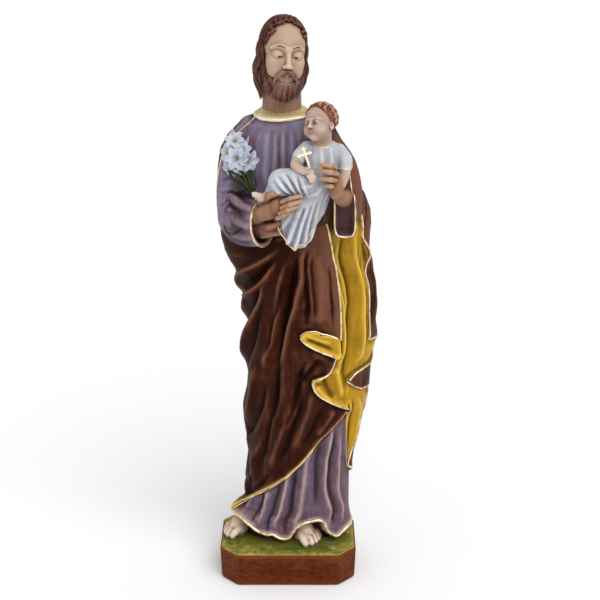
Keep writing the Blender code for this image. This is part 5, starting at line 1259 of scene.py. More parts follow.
def palette(paints):
    """For each paint, its colour, how dark its hollows go as wash and painted shade, the colour dragged over
    its ridges as dry brushing and painted highlight, the colour that clouds it in patches, and how streaky it
    is."""
    return {
        "mantle": (paints.mantle, 0.22, (0.165, 0.066, 0.038), (0.042, 0.0075, 0.0016), 0.6),
        "tunic": (paints.tunic, 0.30, (0.42, 0.28, 0.27), (0.120, 0.084, 0.130), 0.75),
        # painted shade: the sleeves are the tunic's violet painted darker
        "sleeve": (scaled(paints.tunic, 0.68), 0.26, (0.27, 0.18, 0.20), (0.072, 0.054, 0.110), 0.8),
        "lining": (paints.lining, 0.26, (0.66, 0.45, 0.07), (0.42, 0.225, 0.016), 0.4),
        "shade": ((0.19, 0.085, 0.052), 0.3, (0.34, 0.18, 0.12), (0.13, 0.06, 0.05), 0.6),
        # painted shade: the tunic's violet darkened, for the hollow under the hem and inside the hanging
        # sleeve
        "dusk": (scaled(paints.tunic, 0.30), 0.4, scaled(paints.tunic, 0.5), scaled(paints.mantle, 0.8), 0.4),
        "gold": ((0.66, 0.50, 0.25), 0.34, (0.95, 0.86, 0.64), (0.52, 0.37, 0.15), 0.8),
        "plinth": (paints.plinth, 0.45, (0.165, 0.045, 0.012), (0.060, 0.0085, 0.0012), 1.1),
        "grass": (paints.grass, 0.5, (0.50, 0.36, 0.08), (0.100, 0.145, 0.026), 2.0),
        "gown": (paints.gown, 0.46, (0.66, 0.68, 0.72), (0.34, 0.345, 0.40), 0.22),
        "flesh": (paints.flesh, 0.42, (0.72, 0.58, 0.46), (0.45, 0.31, 0.22), 0.15),
        "hands": (scaled(paints.flesh, 0.54, (1, 0.76, 0.60)),
                  0.34, (0.46, 0.28, 0.18), (0.22, 0.09, 0.045), 0.25),
        # painted shade: the neck is the skin painted darker and browner, beneath the beard
        "neck": (scaled(paints.flesh, 0.72, (1, 0.90, 0.8)),
                 0.36, (0.50, 0.35, 0.25), (0.26, 0.14, 0.09), 0.15),
        "child": (paints.child, 0.34, (0.64, 0.50, 0.41), (0.38, 0.25, 0.19), 0.12),
        "hair": (paints.hair, 0.12, (0.25, 0.105, 0.068), (0.028, 0.0075, 0.0035), 0.5),
        # the beard is the hair's brown painted lighter, partly as painted light on its front-facing strands
        "beard": (scaled(paints.hair, 2.3, (1, 1.15, 1.4)),
                  0.10, (0.38, 0.21, 0.17), (0.060, 0.022, 0.015), 0.5),
        "locks": (scaled(paints.hair, 4.2, (1, 1, 1.05)), 0.2, (0.50, 0.28, 0.18), (0.20, 0.085, 0.05), 0.5),
        "lips": ((0.30, 0.12, 0.085), 0.4, (0.42, 0.19, 0.14), (0.28, 0.11, 0.08), 0.1),
        "pink": ((0.42, 0.19, 0.15), 0.4, (0.52, 0.27, 0.21), (0.38, 0.17, 0.13), 0.1),
        "eyes": ((0.50, 0.40, 0.32), 0.5, (0.60, 0.50, 0.42), (0.48, 0.38, 0.30), 0.05),
        "pupils": ((0.022, 0.013, 0.009), 0.8, (0.03, 0.02, 0.014), (0.02, 0.012, 0.008), 0.05),
        "brows": ((0.13, 0.055, 0.035), 0.6, (0.20, 0.10, 0.07), (0.12, 0.05, 0.03), 0.3),
        "leaf": ((0.055, 0.070, 0.022), 0.3, (0.17, 0.19, 0.06), (0.035, 0.045, 0.015), 0.6),
        "lily": ((0.46, 0.49, 0.58), 0.20, (0.92, 0.94, 0.97), (0.34, 0.38, 0.49), 0.1),
        "bud": ((0.55, 0.50, 0.44), 0.5, (0.80, 0.76, 0.74), (0.42, 0.30, 0.28), 0.4),
        "stamen": ((0.70, 0.46, 0.10), 0.5, (0.85, 0.62, 0.2), (0.6, 0.36, 0.08), 0.2),
    }


def painted(name, paints, layers, streak=(1, 1, 0.22), fine_gain=1.15, broad_gain=0.30):
    """Matt paint on plaster: hollows darker and ridges lighter, as wash and dry brush and as painted shade
    and highlight.
    """
    material, tree, shader, spot = plain(name)
    grain = tree.noise(spot, GRAIN_SCALE, 3, 0.6)
    form = tree.math("MULTIPLY_ADD", tree.read("fine"), fine_gain,
                     tree.math("MULTIPLY_ADD", tree.read("broad"), broad_gain, FLAT_TONE))
    place = tree.node("ShaderNodeSeparateXYZ", Vector=spot).outputs

    def brushed(way):
        """Brush marks drawn out along a way, how much they shift the tone, and where clouds lie."""
        drag = tree.get("ShaderNodeMapping", Vector=spot, Scale=way)
        brush, blotch = tree.noise(drag, BRUSH_SCALE, 4, 0.62), tree.noise(drag, BLOTCH_SCALE, 4, 0.6)
        strokes = tree.math("ADD", tree.math("MULTIPLY_ADD", brush, 0.8, -0.4),
                            tree.math("MULTIPLY_ADD", blotch, 0.6, -0.3))
        return brush, strokes, tree.remap(blotch, 0.42, 0.62)

    along = brushed(streak)
    level = brushed((0.45, 0.45, 1)) if "plinth" in layers else along
    dabs = brushed((0.5, 0.5, 0.5)) if "grass" in layers else along
    colour = None
    colours = palette(paints)
    for layer in layers:
        base, hollow, ridge, cloud, streaky = colours[layer]
        _, strokes, clouded = {"plinth": level, "grass": dabs}.get(layer, along)
        share = tree.math("MULTIPLY_ADD", strokes, streaky, form)
        # painted highlight, with dry brushing: the mantle lightened towards its upper right front, where the
        # key light falls
        if layer == "mantle":
            higher, ahead = tree.remap(place[2], 0.22, 0.36), tree.remap(place[1], 0.0, -0.030)
            righter = tree.remap(place[0], 0.0, 0.050)
            lit = tree.math("MULTIPLY", tree.math("MULTIPLY", higher, righter), ahead)
            share = tree.math("MULTIPLY_ADD", lit, MANTLE_HIGHLIGHT, share)
        # the hollows are painted darker and the ridges lighter: wash and dry brushing, and painted shade and
        # highlight
        shades = [tree.ramp(share, [(0.0, scaled(tone, hollow)), (0.20, scaled(tone, (1 + hollow) / 2.4)),
                                    (0.45, tuple(tone)), (0.72, [(a + b) / 2 for a, b in zip(tone, ridge)]),
                                    (1.0, ridge)]) for tone in (base, cloud)]
        shade = tree.mix(clouded, *shades)
        if layer == "tunic":
            chest = tree.remap(place[2], 0.34, 0.42)
            tint = tree.math("MULTIPLY", chest, tree.math("MULTIPLY_ADD", clouded, 0.28, 0.12))
            shade = tree.mix(tint, shade, LAVENDER)
        if colour is None:
            colour = shade
        else:
            ragged = tree.math("MULTIPLY_ADD", grain, 0.35, tree.read("in_" + layer))
            colour = tree.mix(tree.remap(ragged, 0.0, 0.35), colour, shade)
    brush = along[0]
    bump = tree.get("ShaderNodeBump", Height=tree.math("MULTIPLY_ADD", grain, 0.35, brush), Strength=0.35,
                    Distance=0.0004)
    tree.fill(shader, Base_Color=colour, Roughness=tree.math("MULTIPLY_ADD", brush, 0.25, 0.36), Normal=bump,
              Specular_IOR_Level=0.07)
    if "gold" in layers:
        tree.fill(shader, Metallic=tree.remap(tree.read("in_gold"), 0.0, 0.3, 0.3))
    return material


def gilt(paints):
    """Dull gold paint, worn through to the ground here and there."""
    material, tree, shader, spot = plain("gilt")
    cloud, grain = tree.noise(spot, 120, 5, 0.6), tree.noise(spot, 1200, 2)
    gold = tuple(paints.gilt)
    colour = tree.ramp(cloud, [(0.30, scaled(gold, 0.30)), (0.46, scaled(gold, 0.8)), (0.62, gold),
                               (0.80, scaled(gold, 1.25, (1, 1.02, 1.15)))])
    bump = tree.get("ShaderNodeBump", Height=grain, Strength=0.3, Distance=0.0003)
    rough = tree.math("MULTIPLY_ADD", cloud, 0.35, 0.16)
    tree.fill(shader, Base_Color=colour, Roughness=rough, Metallic=0.85, Normal=bump)
    return material


def colour_prop(name, description, default):
    return FloatVectorProperty(name=name, description=description, default=default, subtype="COLOR",
                               min=0, max=1)


def length_prop(name, description, default):
    return FloatProperty(name=name, description=description, default=default, subtype="DISTANCE",
                         unit="LENGTH", min=0.0001)


class StatueSizes(bpy.types.PropertyGroup):
    """Sizes of the statue."""
    figure_height: length_prop("Figure Height", "From the grass to the crown of the head", 0.563)
    plinth_width: length_prop("Plinth Width", "Across the front of the plinth", 0.147)
    plinth_depth: length_prop("Plinth Depth", "From the front of the plinth to its back", 0.108)
    plinth_height: length_prop("Plinth Height", "From the shelf to the grass", 0.037)
    plinth_corner: length_prop("Plinth Corner", "How much each front corner is cut off", 0.018)
    plinth_back_corner: length_prop("Plinth Back Corner", "How much each back corner is cut off", 0.026)
    plinth_rounding: length_prop("Plinth Rounding", "How round the plinth's lower edge is", 0.003)
    gilt_width: length_prop("Gilt Width", "Width of the gilt line along each hem", 0.0019)
    body_grain: FloatProperty(name="Body Grain", default=1.1, min=0.5, max=4,
                              description="Spacing of the clay in the robes, in figure units")
    detail_grain: FloatProperty(name="Detail Grain", default=0.6, min=0.3, max=2,
                                description="Spacing of the clay in heads and hands")
    facets: IntProperty(name="Facets", description="Most triangles in one piece", default=190000, min=5000)


class StatuePaints(bpy.types.PropertyGroup):
    """Colours of the paints."""
    mantle: colour_prop("Mantle", "Red-brown outside of the mantle", (0.031, 0.0050, 0.0012))
    tunic: colour_prop("Tunic", "Greyed violet of the tunic", (0.158, 0.096, 0.108))
    lining: colour_prop("Lining", "Mustard lining of the mantle", (0.50, 0.28, 0.018))
    gown: colour_prop("Gown", "White of the child's gown", (0.40, 0.41, 0.45))
    flesh: colour_prop("Flesh", "The man's skin", (0.46, 0.32, 0.23))
    child: colour_prop("Child's Skin", "The child's skin", (0.43, 0.32, 0.255))
    hair: colour_prop("Hair", "Hair and beard", (0.036, 0.0105, 0.0052))
    grass: colour_prop("Grass", "Top of the plinth", (0.24, 0.205, 0.034))
    plinth: colour_prop("Plinth", "Sides of the plinth", (0.088, 0.0150, 0.0022))
    gilt: colour_prop("Gilt", "Lines along the hems", (0.93, 0.77, 0.47))


def face_paint(pose, pupil, lines):
    """Pupils, and lines of lashes and brows, to paint on both sides of a face."""
    decals = []
    for side in (-1, 1):
        (at,), radii = mirrored([pupil[0]], side), pupil[1]
        decals.append(("pupils", pose.ball(at, radii)))
        decals += [("brows", pose.strand(mirrored(points, side), girths)) for points, girths in lines]
    return decals


def settings():
    """The scene's sizes and paints, the figure's unit, and the height of the grass, both in metres."""
    sizes, paints = bpy.context.scene.statue_sizes, bpy.context.scene.statue_paints
    return sizes, paints, sizes.figure_height / CROWN, sizes.plinth_height


def coarseness():
    return 1.0


def keep(piece):
    """Puts a finished piece on the frame."""
    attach(piece, "root")
    return piece


class STATUE_OT_body(bpy.types.Operator):
    """Sculpt and paint the robes, plinth, feet and gown"""
    bl_idname = "statue.body"
    bl_label = "Body"

    def execute(self, context):
        sizes, paints, unit, lift = settings()
        grain = sizes.body_grain * coarseness()
        sheet, relief, cloths = robe(max(0.8, 0.75 * grain))
        clay = Clay((-78, -92, -lift / unit - 3 * grain), (102, 62, 500), grain)
        add_body(clay, sizes, unit, sheet.form(relief))
        piece = cast("body", clay, (), sheet, cloths)
        piece.data.materials.append(painted("robe paint", paints, (
            "mantle", "tunic", "lining", "dusk", "shade", "gown", "sleeve", "flesh", "grass",
            "plinth", "gold")))
        keep(piece)
        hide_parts("statue")
        return {"FINISHED"}


class STATUE_OT_head(bpy.types.Operator):
    """Sculpt and paint the man's head and neck"""
    bl_idname = "statue.head"
    bl_label = "Head"

    def execute(self, context):
        sizes, paints, *_ = settings()
        clay = Clay((-40, -50, 452), (34, 34, 574), sizes.detail_grain * coarseness())
        clay.paint = "neck"
        clay.add(tube([(-5, 8, 456), (-5, 5, 478), (-4, 0, 500)], [21, 19.5, 18]), 4)
        clay.paint = "flesh"
        pose = Pose((-3.5, -8, 527.5), turned(12, 6, -4), 1)
        add_head(clay, pose)
        decals = face_paint(pose, ((8.2, -24.2, -1.1), (1.7, 1.7, 0.9)), (
            ([(3.4, -22.8, -0.9), (8.6, -24.7, -0.4), (13.8, -21, -1.2)], [0.25, 0.45, 0.3]),
            ([(3.8, -26.4, 7.2), (9, -25.4, 9.0), (15.2, -20, 7.0)], [0.6, 1.0, 0.4])))
        piece = cast("head", clay, decals)
        piece.data.materials.append(painted("head paint", paints, (
            "flesh", "neck", "lips", "eyes", "pupils", "brows", "beard", "hair"), (1, 1, 0.5), 0.8, 0.10))
        keep(piece)
        return {"FINISHED"}


class STATUE_OT_child(bpy.types.Operator):
    """Sculpt and paint the child's head and neck"""
    bl_idname = "statue.child"
    bl_label = "Child"

    def execute(self, context):
        sizes, paints, *_ = settings()
        clay = Clay((6, -80, 436), (62, -22, 496), 0.85 * sizes.detail_grain * coarseness())
        clay.add(tube([(34, -49, 442), (34, -49, 458)], [9, 9.5]), 2)
        pose = Pose((31.5, -51, 467.5), turned(-34, -16, -20), 0.535)
        add_child_head(clay, pose)
        names = {"flesh": "child", "lips": "pink", "hair": "locks"}
        clay.forms = [(form, names.get(paint, paint)) for form, paint in clay.forms]
        decals = face_paint(pose, ((9.3, -24.2, -3.4), (1.9, 1.7, 1.5)), (
            ([(4.4, -23, -2.6), (9.6, -24.7, -1.6), (14.6, -21, -2.6)], [0.2, 0.4, 0.25]),
            ([(4.4, -26.4, 5), (9.8, -25.8, 6.6), (15.6, -20.5, 4.8)], [0.4, 0.7, 0.35])))
        piece = cast("child_head", clay, decals)
        piece.data.materials.append(painted("child paint", paints, (
            "child", "pink", "eyes", "pupils", "brows", "locks"), (1, 1, 0.6), 0.9, 0.12))
        keep(piece)
        return {"FINISHED"}


class STATUE_OT_hands(bpy.types.Operator):
    """Sculpt and paint the hands, the child's arms and the child's foot"""
    bl_idname = "statue.hands"
    bl_label = "Hands"

    def execute(self, context):
        sizes, paints, *_ = settings()
        clay = Clay((-52, -92, 358), (78, -4, 454), sizes.detail_grain * coarseness())
        add_hands(clay)
        piece = cast("hands", clay)
        piece.data.materials.append(painted("hand paint", paints, ("hands", "child", "gold"),
                                            (1, 1, 1), 1.0, 0.25))
        keep(piece)
        return {"FINISHED"}


def new_tree(name, feed, values, out):
    """A node tree with geometry and named values going in, and geometry coming out."""
    group = bpy.data.node_groups.new(name, "GeometryNodeTree")
    face = group.interface
    face.new_socket(feed, in_out="INPUT", socket_type="NodeSocketGeometry")
    for label, value in values.items():
        kind = "NodeSocketInt" if isinstance(value, int) else "NodeSocketFloat"
        face.new_socket(label, in_out="INPUT", socket_type=kind).default_value = value
    face.new_socket(out, in_out="OUTPUT", socket_type="NodeSocketGeometry")
    t = Tree(group)
    return t, t.node("NodeGroupInput").outputs


def end_tree(t, geometry, material, out):
    """Makes the geometry plain, gives it the material, and hands it out."""
    whole = t.get("GeometryNodeRealizeInstances", Geometry=geometry)
    coat = t.get("GeometryNodeSetMaterial", Geometry=whole, Material=material)
    t.node("NodeGroupOutput", **{out: coat})
    return t.tree


def drawn_along(t, line, ring, width):
    """The ring drawn along the line, as wide as given at each point."""
    net = t.node("GeometryNodeCurveToMesh", Curve=line, Profile_Curve=ring, Fill_Caps=True)
    if "Scale" in net.inputs:
        return t.fill(net, Scale=width).outputs[0]
    return t.fill(net, Curve=t.get("GeometryNodeSetCurveRadius", Curve=line, Radius=width)).outputs[0]


def gilt_tree(material):
    """Nodes that lay a slightly uneven bead along each line."""
    values = {"Line Radius": 0.001, "Unevenness": 0.22, "Spacing": 0.0008, "Seed": 3.0}
    t, given = new_tree("Gilt line", "Lines", values, "Gilding")
    line = t.get("GeometryNodeResampleCurve", {"mode": "LENGTH"}, Curve=given["Lines"],
                 Length=given["Spacing"])
    noise = t.get("ShaderNodeTexNoise", {"noise_dimensions": "4D"}, W=given["Seed"], Scale=170, Detail=2)
    swing = t.math("MULTIPLY", given["Unevenness"], 3)
    swell = t.math("MULTIPLY_ADD", t.math("SUBTRACT", noise, 0.5), swing, 1.0)
    swell = t.math("MULTIPLY", swell, t.get("GeometryNodeInputRadius"))
    ring = t.get("GeometryNodeCurvePrimitiveCircle", Resolution=8, Radius=1.0)
    bead = drawn_along(t, line, ring, t.math("MULTIPLY", given["Line Radius"], swell))
    return end_tree(t, bead, material, "Gilding")


def set_input(modifier, label, value):
    """Sets a node modifier's input by its name."""
    socket = next(item for item in modifier.node_group.interface.items_tree if item.name == label)
    modifier[socket.identifier] = value


def smoothed(points, times):
    """The line with its corners eased, its ends kept."""
    points = np.array(points, float)
    for _ in range(times):
        points[1:-1] = 0.5 * points[1:-1] + 0.25 * (points[:-2] + points[2:])
    return points


def robe_lines(sheet, relief):
    """Each gilt line on the robes, as points in space."""
    def lay(points, offset):
        return sheet.along(sheet.lay(points), relief, offset)

    def round_the_back(front, behind, offset):
        right, left = behind
        return [sheet.along(np.vstack([sheet.lay(front[-1:]), sheet.behind(right)]), relief, offset),
                sheet.along(np.vstack([sheet.behind(left), sheet.lay(front[:1])]), relief, offset)]

    lines = [lay(SKIRT_HEM, 0.4), lay(TUNIC_HEM, 0.9), lay(FRONT_EDGE, -0.9), lay(UPPER_FLAP[:8], -0.4),
             lay(TONGUE_EDGE, 0.9), lay(LOWER_EDGE, 0.9), lay(STRIP_EDGE[1:], 0.9), lay(CORNER, -0.6),
             lay([(64.5, 192), (70.6, 186), (79, 180.5)], -0.5)]
    lines += round_the_back(TUNIC_HEM, TUNIC_HEM_BEHIND, 0.9)
    lines += round_the_back(SKIRT_HEM[::-1][:1] + [(66, 84)], SKIRT_HEM_BEHIND, 0.9)
    for start, side, end in ((CORNER[-1:], CORNER_BEHIND, STRIP_EDGE[-1:]),
                             (BACK_LINING[-1:], BACK_LINING_BEHIND, BACK_LINING[:1])):
        edge = np.vstack([sheet.lay(start), sheet.behind(side), sheet.lay(end)])
        lines.append(sheet.along(smooth_line(edge, 6), relief, -0.4))
    return lines


# The tunic's hem, among those lines
HEM_LINES = (1, 9, 10)
# Lines that are laid on the nearest of the clay, each with its width as a share of the others'
SNAPPED_LINES = [
    # the hanging sleeve on the viewer's right
    ([(47.5, -57, 392), (47, -57.4, 376), (48.5, -57.6, 362), (51, -57.6, 357), (57, -57.6, 355.5),
      (63, -57.6, 357), (66, -57.6, 362), (67, -57.4, 376), (66.8, -50, 392), (66, -44, 404),
      (62.5, -38, 418),
      (58.5, -34, 430)], 1.0),
    # edge of the mantle down the arm on the viewer's left
    ([(-25, -10, 470), (-39, -8, 463), (-51, -6, 448), (-60, -4, 433), (-66, -4, 408), (-71, -5, 377),
      (-71, -6, 350)], 0.9),
    # hem of the child's gown
    ([(-9, -60, 371), (-6, -64, 362), (0, -66, 351), (4.5, -66, 344), (8.5, -66, 343), (13, -64, 349),
      (17.5, -62, 350), (22, -60, 359), (27, -58, 372), (33, -58, 383)], 0.8),
    # neck of the gown, and its sleeves
    ([(25, -50, 449), (28, -58, 447), (34, -60, 446), (41, -57, 447), (44, -50, 449)], 0.6),
    ([(49, -54, 427), (52, -60, 425.5), (58, -59, 425.5), (63, -52, 427)], 0.6),
    ([(8, -62, 439), (6, -64, 434), (8, -66, 430), (13, -66, 430)], 0.6),
]


def drawn(name, lines, unit, lift):
    """A curve object of the lines, each with its own radius at every point."""
    curve = bpy.data.curves.new(name, "CURVE")
    curve.dimensions = "3D"
    for line, width in lines:
        line = line * unit + (0, 0, lift)
        spline = curve.splines.new("POLY")
        spline.points.add(len(line) - 1)
        spline.points.foreach_set("co", np.hstack([line, np.ones((len(line), 1))]).ravel())
        spline.points.foreach_set("radius", np.full(len(line), width))
    return place(curve)


def grown(piece, label, tree, name, **values):
    """The piece with a node tree run on it, kept as a smooth mesh of its own."""
    nodes = piece.modifiers.new(label, "NODES")
    nodes.node_group = tree
    for key, value in values.items():
        set_input(nodes, key.replace("_", " "), value)
    piece = baked(piece, name)
    piece.data.shade_smooth()
    return keep(piece)


class STATUE_OT_gilding(bpy.types.Operator):
    """Lay the gilt lines along the hems, cuffs and collar"""
    bl_idname = "statue.gilding"
    bl_label = "Gilding"

    def execute(self, context):
        sizes, paints, unit, lift = settings()
        sheet, relief, _ = robe(1.0)
        lines = [(smoothed(line, 3), 1.9 if k in HEM_LINES else 1.15)
                 for k, line in enumerate(robe_lines(sheet, relief))]
        sleeve, cuff = left_sleeve()
        lines.append((ring(sleeve, cuff[0] - 0.4 * cuff[1], cuff[1], 60), 1.1))
        lines.append((smoothed(sheet.along(smooth_line(sheet.behind(COLLAR), 5), relief, 0), 6), 1.3))
        body = bpy.data.objects["body"].data
        corners = np.zeros(3 * len(body.vertices), np.float32)
        body.vertices.foreach_get("co", corners)
        body.calc_loop_triangles()
        faces = np.zeros(3 * len(body.loop_triangles), np.int32)
        body.loop_triangles.foreach_get("vertices", faces)
        ground = BVHTree.FromPolygons(corners.reshape(-1, 3).tolist(), faces.reshape(-1, 3).tolist())
        for line, width in SNAPPED_LINES:
            spots = []
            for spot in smooth_line(line, 6):
                near, normal, *_ = ground.find_nearest(Vector(spot * unit + (0, 0, lift)))
                spots.append((np.array(near) - (0, 0, lift)) / unit + 0.25 * np.array(normal))
            lines.append((smoothed(spots, 3), width))
        grown(drawn("lines", lines, unit, lift), "Gilt line", gilt_tree(gilt(paints)), "gilding",
              Line_Radius=sizes.gilt_width / 2)
        return {"FINISHED"}


def lily_tree(material):
    """Nodes that open a flower of recurved petals at each point, turned and sized by the point."""
    values = {"Petal Width": 0.37, "Petal Thickness": 0.045, "Opening": 0.95, "Curl": 0.55, "Ruffle": 0.10,
              "Seed": 5.0, "Petals": 6}
    t, given = new_tree("Lilies", "Blooms", values, "Flowers")

    def marked(geometry, name, value):
        return t.get("GeometryNodeStoreNamedAttribute", {"data_type": "FLOAT"}, Geometry=geometry, Name=name,
                     Value=value)

    ball = t.get("GeometryNodeMeshUVSphere", Segments=14, Rings=12, Radius=1.0)
    x, y, z = t.node("ShaderNodeSeparateXYZ", Vector=t.get("GeometryNodeInputPosition")).outputs
    up = t.math("MULTIPLY_ADD", z, 0.5, 0.5)
    rippled = t.get("ShaderNodeTexNoise", {"noise_dimensions": "4D"}, W=given["Seed"], Scale=2.2, Detail=1)
    ripple = t.math("MULTIPLY", t.math("SUBTRACT", rippled, 0.5), given["Ruffle"])
    taper = t.math("MULTIPLY_ADD", up, -0.5, 1.25)
    wide = t.math("MULTIPLY", x, t.math("MULTIPLY", given["Petal Width"], taper))
    keel = t.math("MULTIPLY", t.math("POWER", t.math("ABSOLUTE", x), 1.5), 0.14)
    out = t.math("MULTIPLY", t.math("POWER", up, 1.7), given["Opening"])
    thick = t.math("MULTIPLY", t.math("SUBTRACT", y, keel), given["Petal Thickness"])
    out = t.math("ADD", t.math("ADD", out, 0.06), thick)
    high = t.math("SUBTRACT", up, t.math("MULTIPLY", t.math("POWER", up, 3.2), given["Curl"]))
    high = t.math("ADD", t.math("ADD", high, keel), ripple)
    shaped = t.get("GeometryNodeSetPosition", Geometry=ball, Position=t.get(
        "ShaderNodeCombineXYZ", X=wide, Y=out, Z=high))
    # each petal darker towards the throat and down its middle: painted shade with the throat's own greyer
    # tone
    middle = t.math("MULTIPLY_ADD", t.math("ABSOLUTE", x), 0.30, -0.40)
    shade = t.math("MULTIPLY_ADD", up, 0.62, middle)
    petal = marked(marked(shaped, "fine", shade), "in_stamen", -2.0)
    spin = t.math("DIVIDE", t.math("MULTIPLY", t.get("GeometryNodeInputIndex"), 2 * math.pi), given["Petals"])
    seat = t.get("GeometryNodePoints", Count=given["Petals"])
    flower = t.get("GeometryNodeInstanceOnPoints", Points=seat, Instance=petal, Rotation=t.get(
        "ShaderNodeCombineXYZ", Z=spin))
    stalk = t.get("GeometryNodeMeshUVSphere", Segments=8, Rings=6, Radius=1.0)
    stalk = t.get("GeometryNodeTransform", Geometry=stalk, Translation=(0, 0, 0.42), Scale=(0.07, 0.07, 0.42))
    stalk = marked(stalk, "in_stamen", 2.0)
    join = t.node("GeometryNodeJoinGeometry")
    t.fill(join, Geometry=flower)
    t.fill(join, Geometry=stalk)
    whole = t.get("GeometryNodeRealizeInstances", Geometry=join.outputs[0])
    facing = t.get("GeometryNodeInputNamedAttribute", {"data_type": "FLOAT_VECTOR"}, Name="turn")
    size = t.get("GeometryNodeInputNamedAttribute", {"data_type": "FLOAT"}, Name="size")
    blooms = t.get("GeometryNodeInstanceOnPoints", Points=given["Blooms"], Instance=whole, Rotation=facing,
                    Scale=size)
    return end_tree(t, blooms, material, "Flowers")


# Blooms: where, which way they face, and how long their petals are
BLOOMS = [
    ((-48.5, -32, 430), (-0.15, -1, 0.15), 13), ((-39.5, -32, 429), (0.6, -1, -0.1), 12),
    ((-54, -27, 434.5), (-0.8, -0.8, 0.3), 11), ((-50, -25, 443.5), (-0.3, -0.8, 0.9), 11.5),
    ((-52.5, -29, 422), (-0.6, -0.9, -0.5), 10.5), ((-44, -31, 437.5), (0.35, -0.9, 0.6), 9.5),
    ((-45, -32, 422), (0.25, -1, -0.6), 9.5),
]
# Stems, leaves and buds: a path, and how wide the blade is
LEAVES = [
    ([(-34, -39, 398), (-42, -37, 408), (-52, -33, 416), (-61, -27, 416)], 4.4),
    ([(-35, -38, 400), (-41, -36, 412), (-46, -33, 421), (-48, -29, 429)], 3.8),
    ([(-33, -40, 399), (-36, -37, 409), (-38, -35, 420), (-42, -32, 428)], 2.6),
    ([(-36, -39, 397), (-45, -38, 403), (-54, -34, 411), (-58, -30, 421)], 3.6),
    ([(-34, -40, 397), (-30, -38, 404), (-31, -36, 413)], 2.2),
    ([(-42, -30, 424), (-47, -28, 436), (-52, -22, 446)], 1.2),
]
BUDS = [([(-43, -27, 436), (-40, -27, 443), (-36.8, -26, 451)], 2.5),
        ([(-52, -23, 446), (-53, -22, 452), (-52.6, -21, 458)], 2.2)]


def leaf_tree(material):
    """Nodes that draw a blade along each line, widest below the middle and pointed at its tip."""
    t, given = new_tree("Blades", "Lines", {"Flatness": 0.30, "Spacing": 0.0008, "Tilt": 0.0}, "Blades")
    line = t.get("GeometryNodeResampleCurve", {"mode": "LENGTH"}, Curve=given["Lines"],
                 Length=given["Spacing"])
    line = t.get("GeometryNodeSetCurveTilt", Curve=line, Tilt=given["Tilt"])
    along = t.node("GeometryNodeSplineParameter").outputs["Factor"]
    arc = t.math("MULTIPLY_ADD", along, math.pi * 0.86, math.pi * 0.13)
    taper = t.math("POWER", t.math("SINE", arc), 0.8)
    width = t.math("MULTIPLY", taper, t.get("GeometryNodeInputRadius"))
    ring = t.get("GeometryNodeCurvePrimitiveCircle", Resolution=10, Radius=1.0)
    ring = t.get("GeometryNodeTransform", Geometry=ring, Scale=t.get(
        "ShaderNodeCombineXYZ", X=1.0, Y=given["Flatness"], Z=1.0))
    return end_tree(t, drawn_along(t, line, ring, width), material, "Blades")


class STATUE_OT_lilies(bpy.types.Operator):
    """Grow the lilies: flowers, buds and leaves"""
    bl_idname = "statue.lilies"
    bl_label = "Lilies"

    def execute(self, context):
        _, paints, unit, lift = settings()
        mesh = bpy.data.meshes.new("lilies")
        mesh.from_pydata([tuple(np.array(spot) * unit + (0, 0, lift)) for spot, *_ in BLOOMS], [], [])
        turns = [tuple(Vector(way).to_track_quat("Z", "X").to_euler()) for _, way, _ in BLOOMS]
        mesh.attributes.new("turn", "FLOAT_VECTOR", "POINT").data.foreach_set("vector", np.ravel(turns))
        lengths = [length * unit for *_, length in BLOOMS]
        mesh.attributes.new("size", "FLOAT", "POINT").data.foreach_set("value", lengths)
        piece = place(mesh)
        grown(piece, "Lilies", lily_tree(painted("lily paint", paints, ("lily", "stamen"))), "lilies",
              Opening=0.92)
        for name, lines, flatness, layer in (("leaves", LEAVES, 0.30, "leaf"), ("buds", BUDS, 0.85, "bud")):
            piece = drawn(name, [(smooth_line(line, 6), width * unit) for line, width in lines], unit, lift)
            grown(piece, "Blades", leaf_tree(painted(layer + " paint", paints, (layer,))), name,
                  Flatness=flatness)
        return {"FINISHED"}


# Half the floor's side, the sky's strength, and each sun: its place, its spread in degrees and its strength
FLOOR_HALF, SKY = 14.0, 0.68
SUNS = {"key": ((0.45, -0.80, 1.0), 50, 1.8), "fill": ((-1.0, -0.55, 0.7), 50, 0.10)}
# The camera's place, how many degrees it looks down, and its focal length and picture in pixels
CAMERA, LOOKING_DOWN, FOCAL_LENGTH, PICTURE = (0.0129, -1.25, 0.74), 19.08, 1274, 600


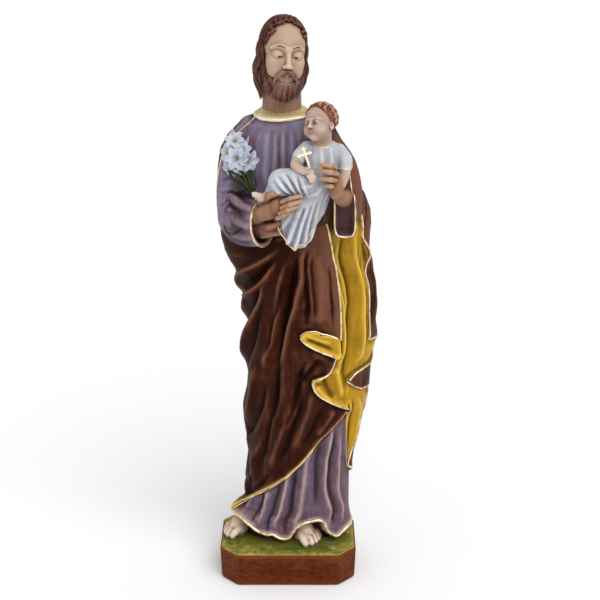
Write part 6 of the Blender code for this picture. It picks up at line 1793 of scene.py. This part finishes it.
class STATUE_OT_stage(bpy.types.Operator):
    """Set the floor, the lights and the camera"""
    bl_idname = "statue.stage"
    bl_label = "Stage"

    def execute(self, context):
        scene = context.scene
        half = FLOOR_HALF
        floor = place(mesh_of("floor", np.array([(-half, -half, 0), (half, -half, 0), (half, half, 0),
                                                 (-half, half, 0)]), np.array([(0, 1, 2, 3)])))
        pale, tree, shader, _ = plain("floor")
        tree.fill(shader, Base_Color=(0.93, 0.93, 0.93, 1), Roughness=0.9)
        floor.data.materials.append(pale)
        world = bpy.data.worlds.new("studio")
        world.use_nodes = True
        sky = world.node_tree.nodes["Background"]
        sky.inputs[0].default_value = (1, 1, 1, 1)
        sky.inputs[1].default_value = SKY
        scene.world = world
        for name, (spot, spread, power) in SUNS.items():
            light = bpy.data.lights.new(name, "SUN")
            light.angle, light.energy = math.radians(spread), power
            lamp = bpy.data.objects.new(name, light)
            lamp.location = spot
            lamp.rotation_euler = Vector(spot).to_track_quat("Z", "Y").to_euler()
            scene.collection.objects.link(lamp)
        view = bpy.data.cameras.new("camera")
        view.sensor_width = 36
        view.lens = view.sensor_width * FOCAL_LENGTH / PICTURE
        camera = bpy.data.objects.new("camera", view)
        camera.location = CAMERA
        camera.rotation_euler = (math.radians(90 - LOOKING_DOWN), 0, 0)
        scene.collection.objects.link(camera)
        scene.camera = camera
        scene.view_settings.view_transform = "Standard"
        return {"FINISHED"}


OPERATORS = (STATUE_OT_body, STATUE_OT_head, STATUE_OT_child, STATUE_OT_hands, STATUE_OT_gilding,
             STATUE_OT_lilies, STATUE_OT_stage)


class STATUE_PT_panel(bpy.types.Panel):
    """Sizes, colours and the steps that make the statue"""
    bl_idname = "STATUE_PT_panel"
    bl_label = "Plaster Statue"
    bl_space_type = "VIEW_3D"
    bl_region_type = "UI"
    bl_category = "Statue"

    def draw(self, context):
        for group in (context.scene.statue_sizes, context.scene.statue_paints):
            column = self.layout.column(align=True)
            for name in group.bl_rna.properties.keys():
                if name not in ("rna_type", "name"):
                    column.prop(group, name)
        for operator in OPERATORS:
            self.layout.operator(operator.bl_idname)


CLASSES = (StatueSizes, StatuePaints) + OPERATORS + (STATUE_PT_panel,)


def register():
    for item in CLASSES:
        bpy.utils.register_class(item)
    bpy.types.Scene.statue_sizes = PointerProperty(type=StatueSizes)
    bpy.types.Scene.statue_paints = PointerProperty(type=StatuePaints)


def unregister():
    del bpy.types.Scene.statue_paints
    del bpy.types.Scene.statue_sizes
    for item in reversed(CLASSES):
        bpy.utils.unregister_class(item)


def main():
    """Makes every piece in order."""
    register()
    for operator in OPERATORS:
        group, name = operator.bl_idname.split(".")
        getattr(getattr(bpy.ops, group), name)()


if __name__ == "__main__":
    main()
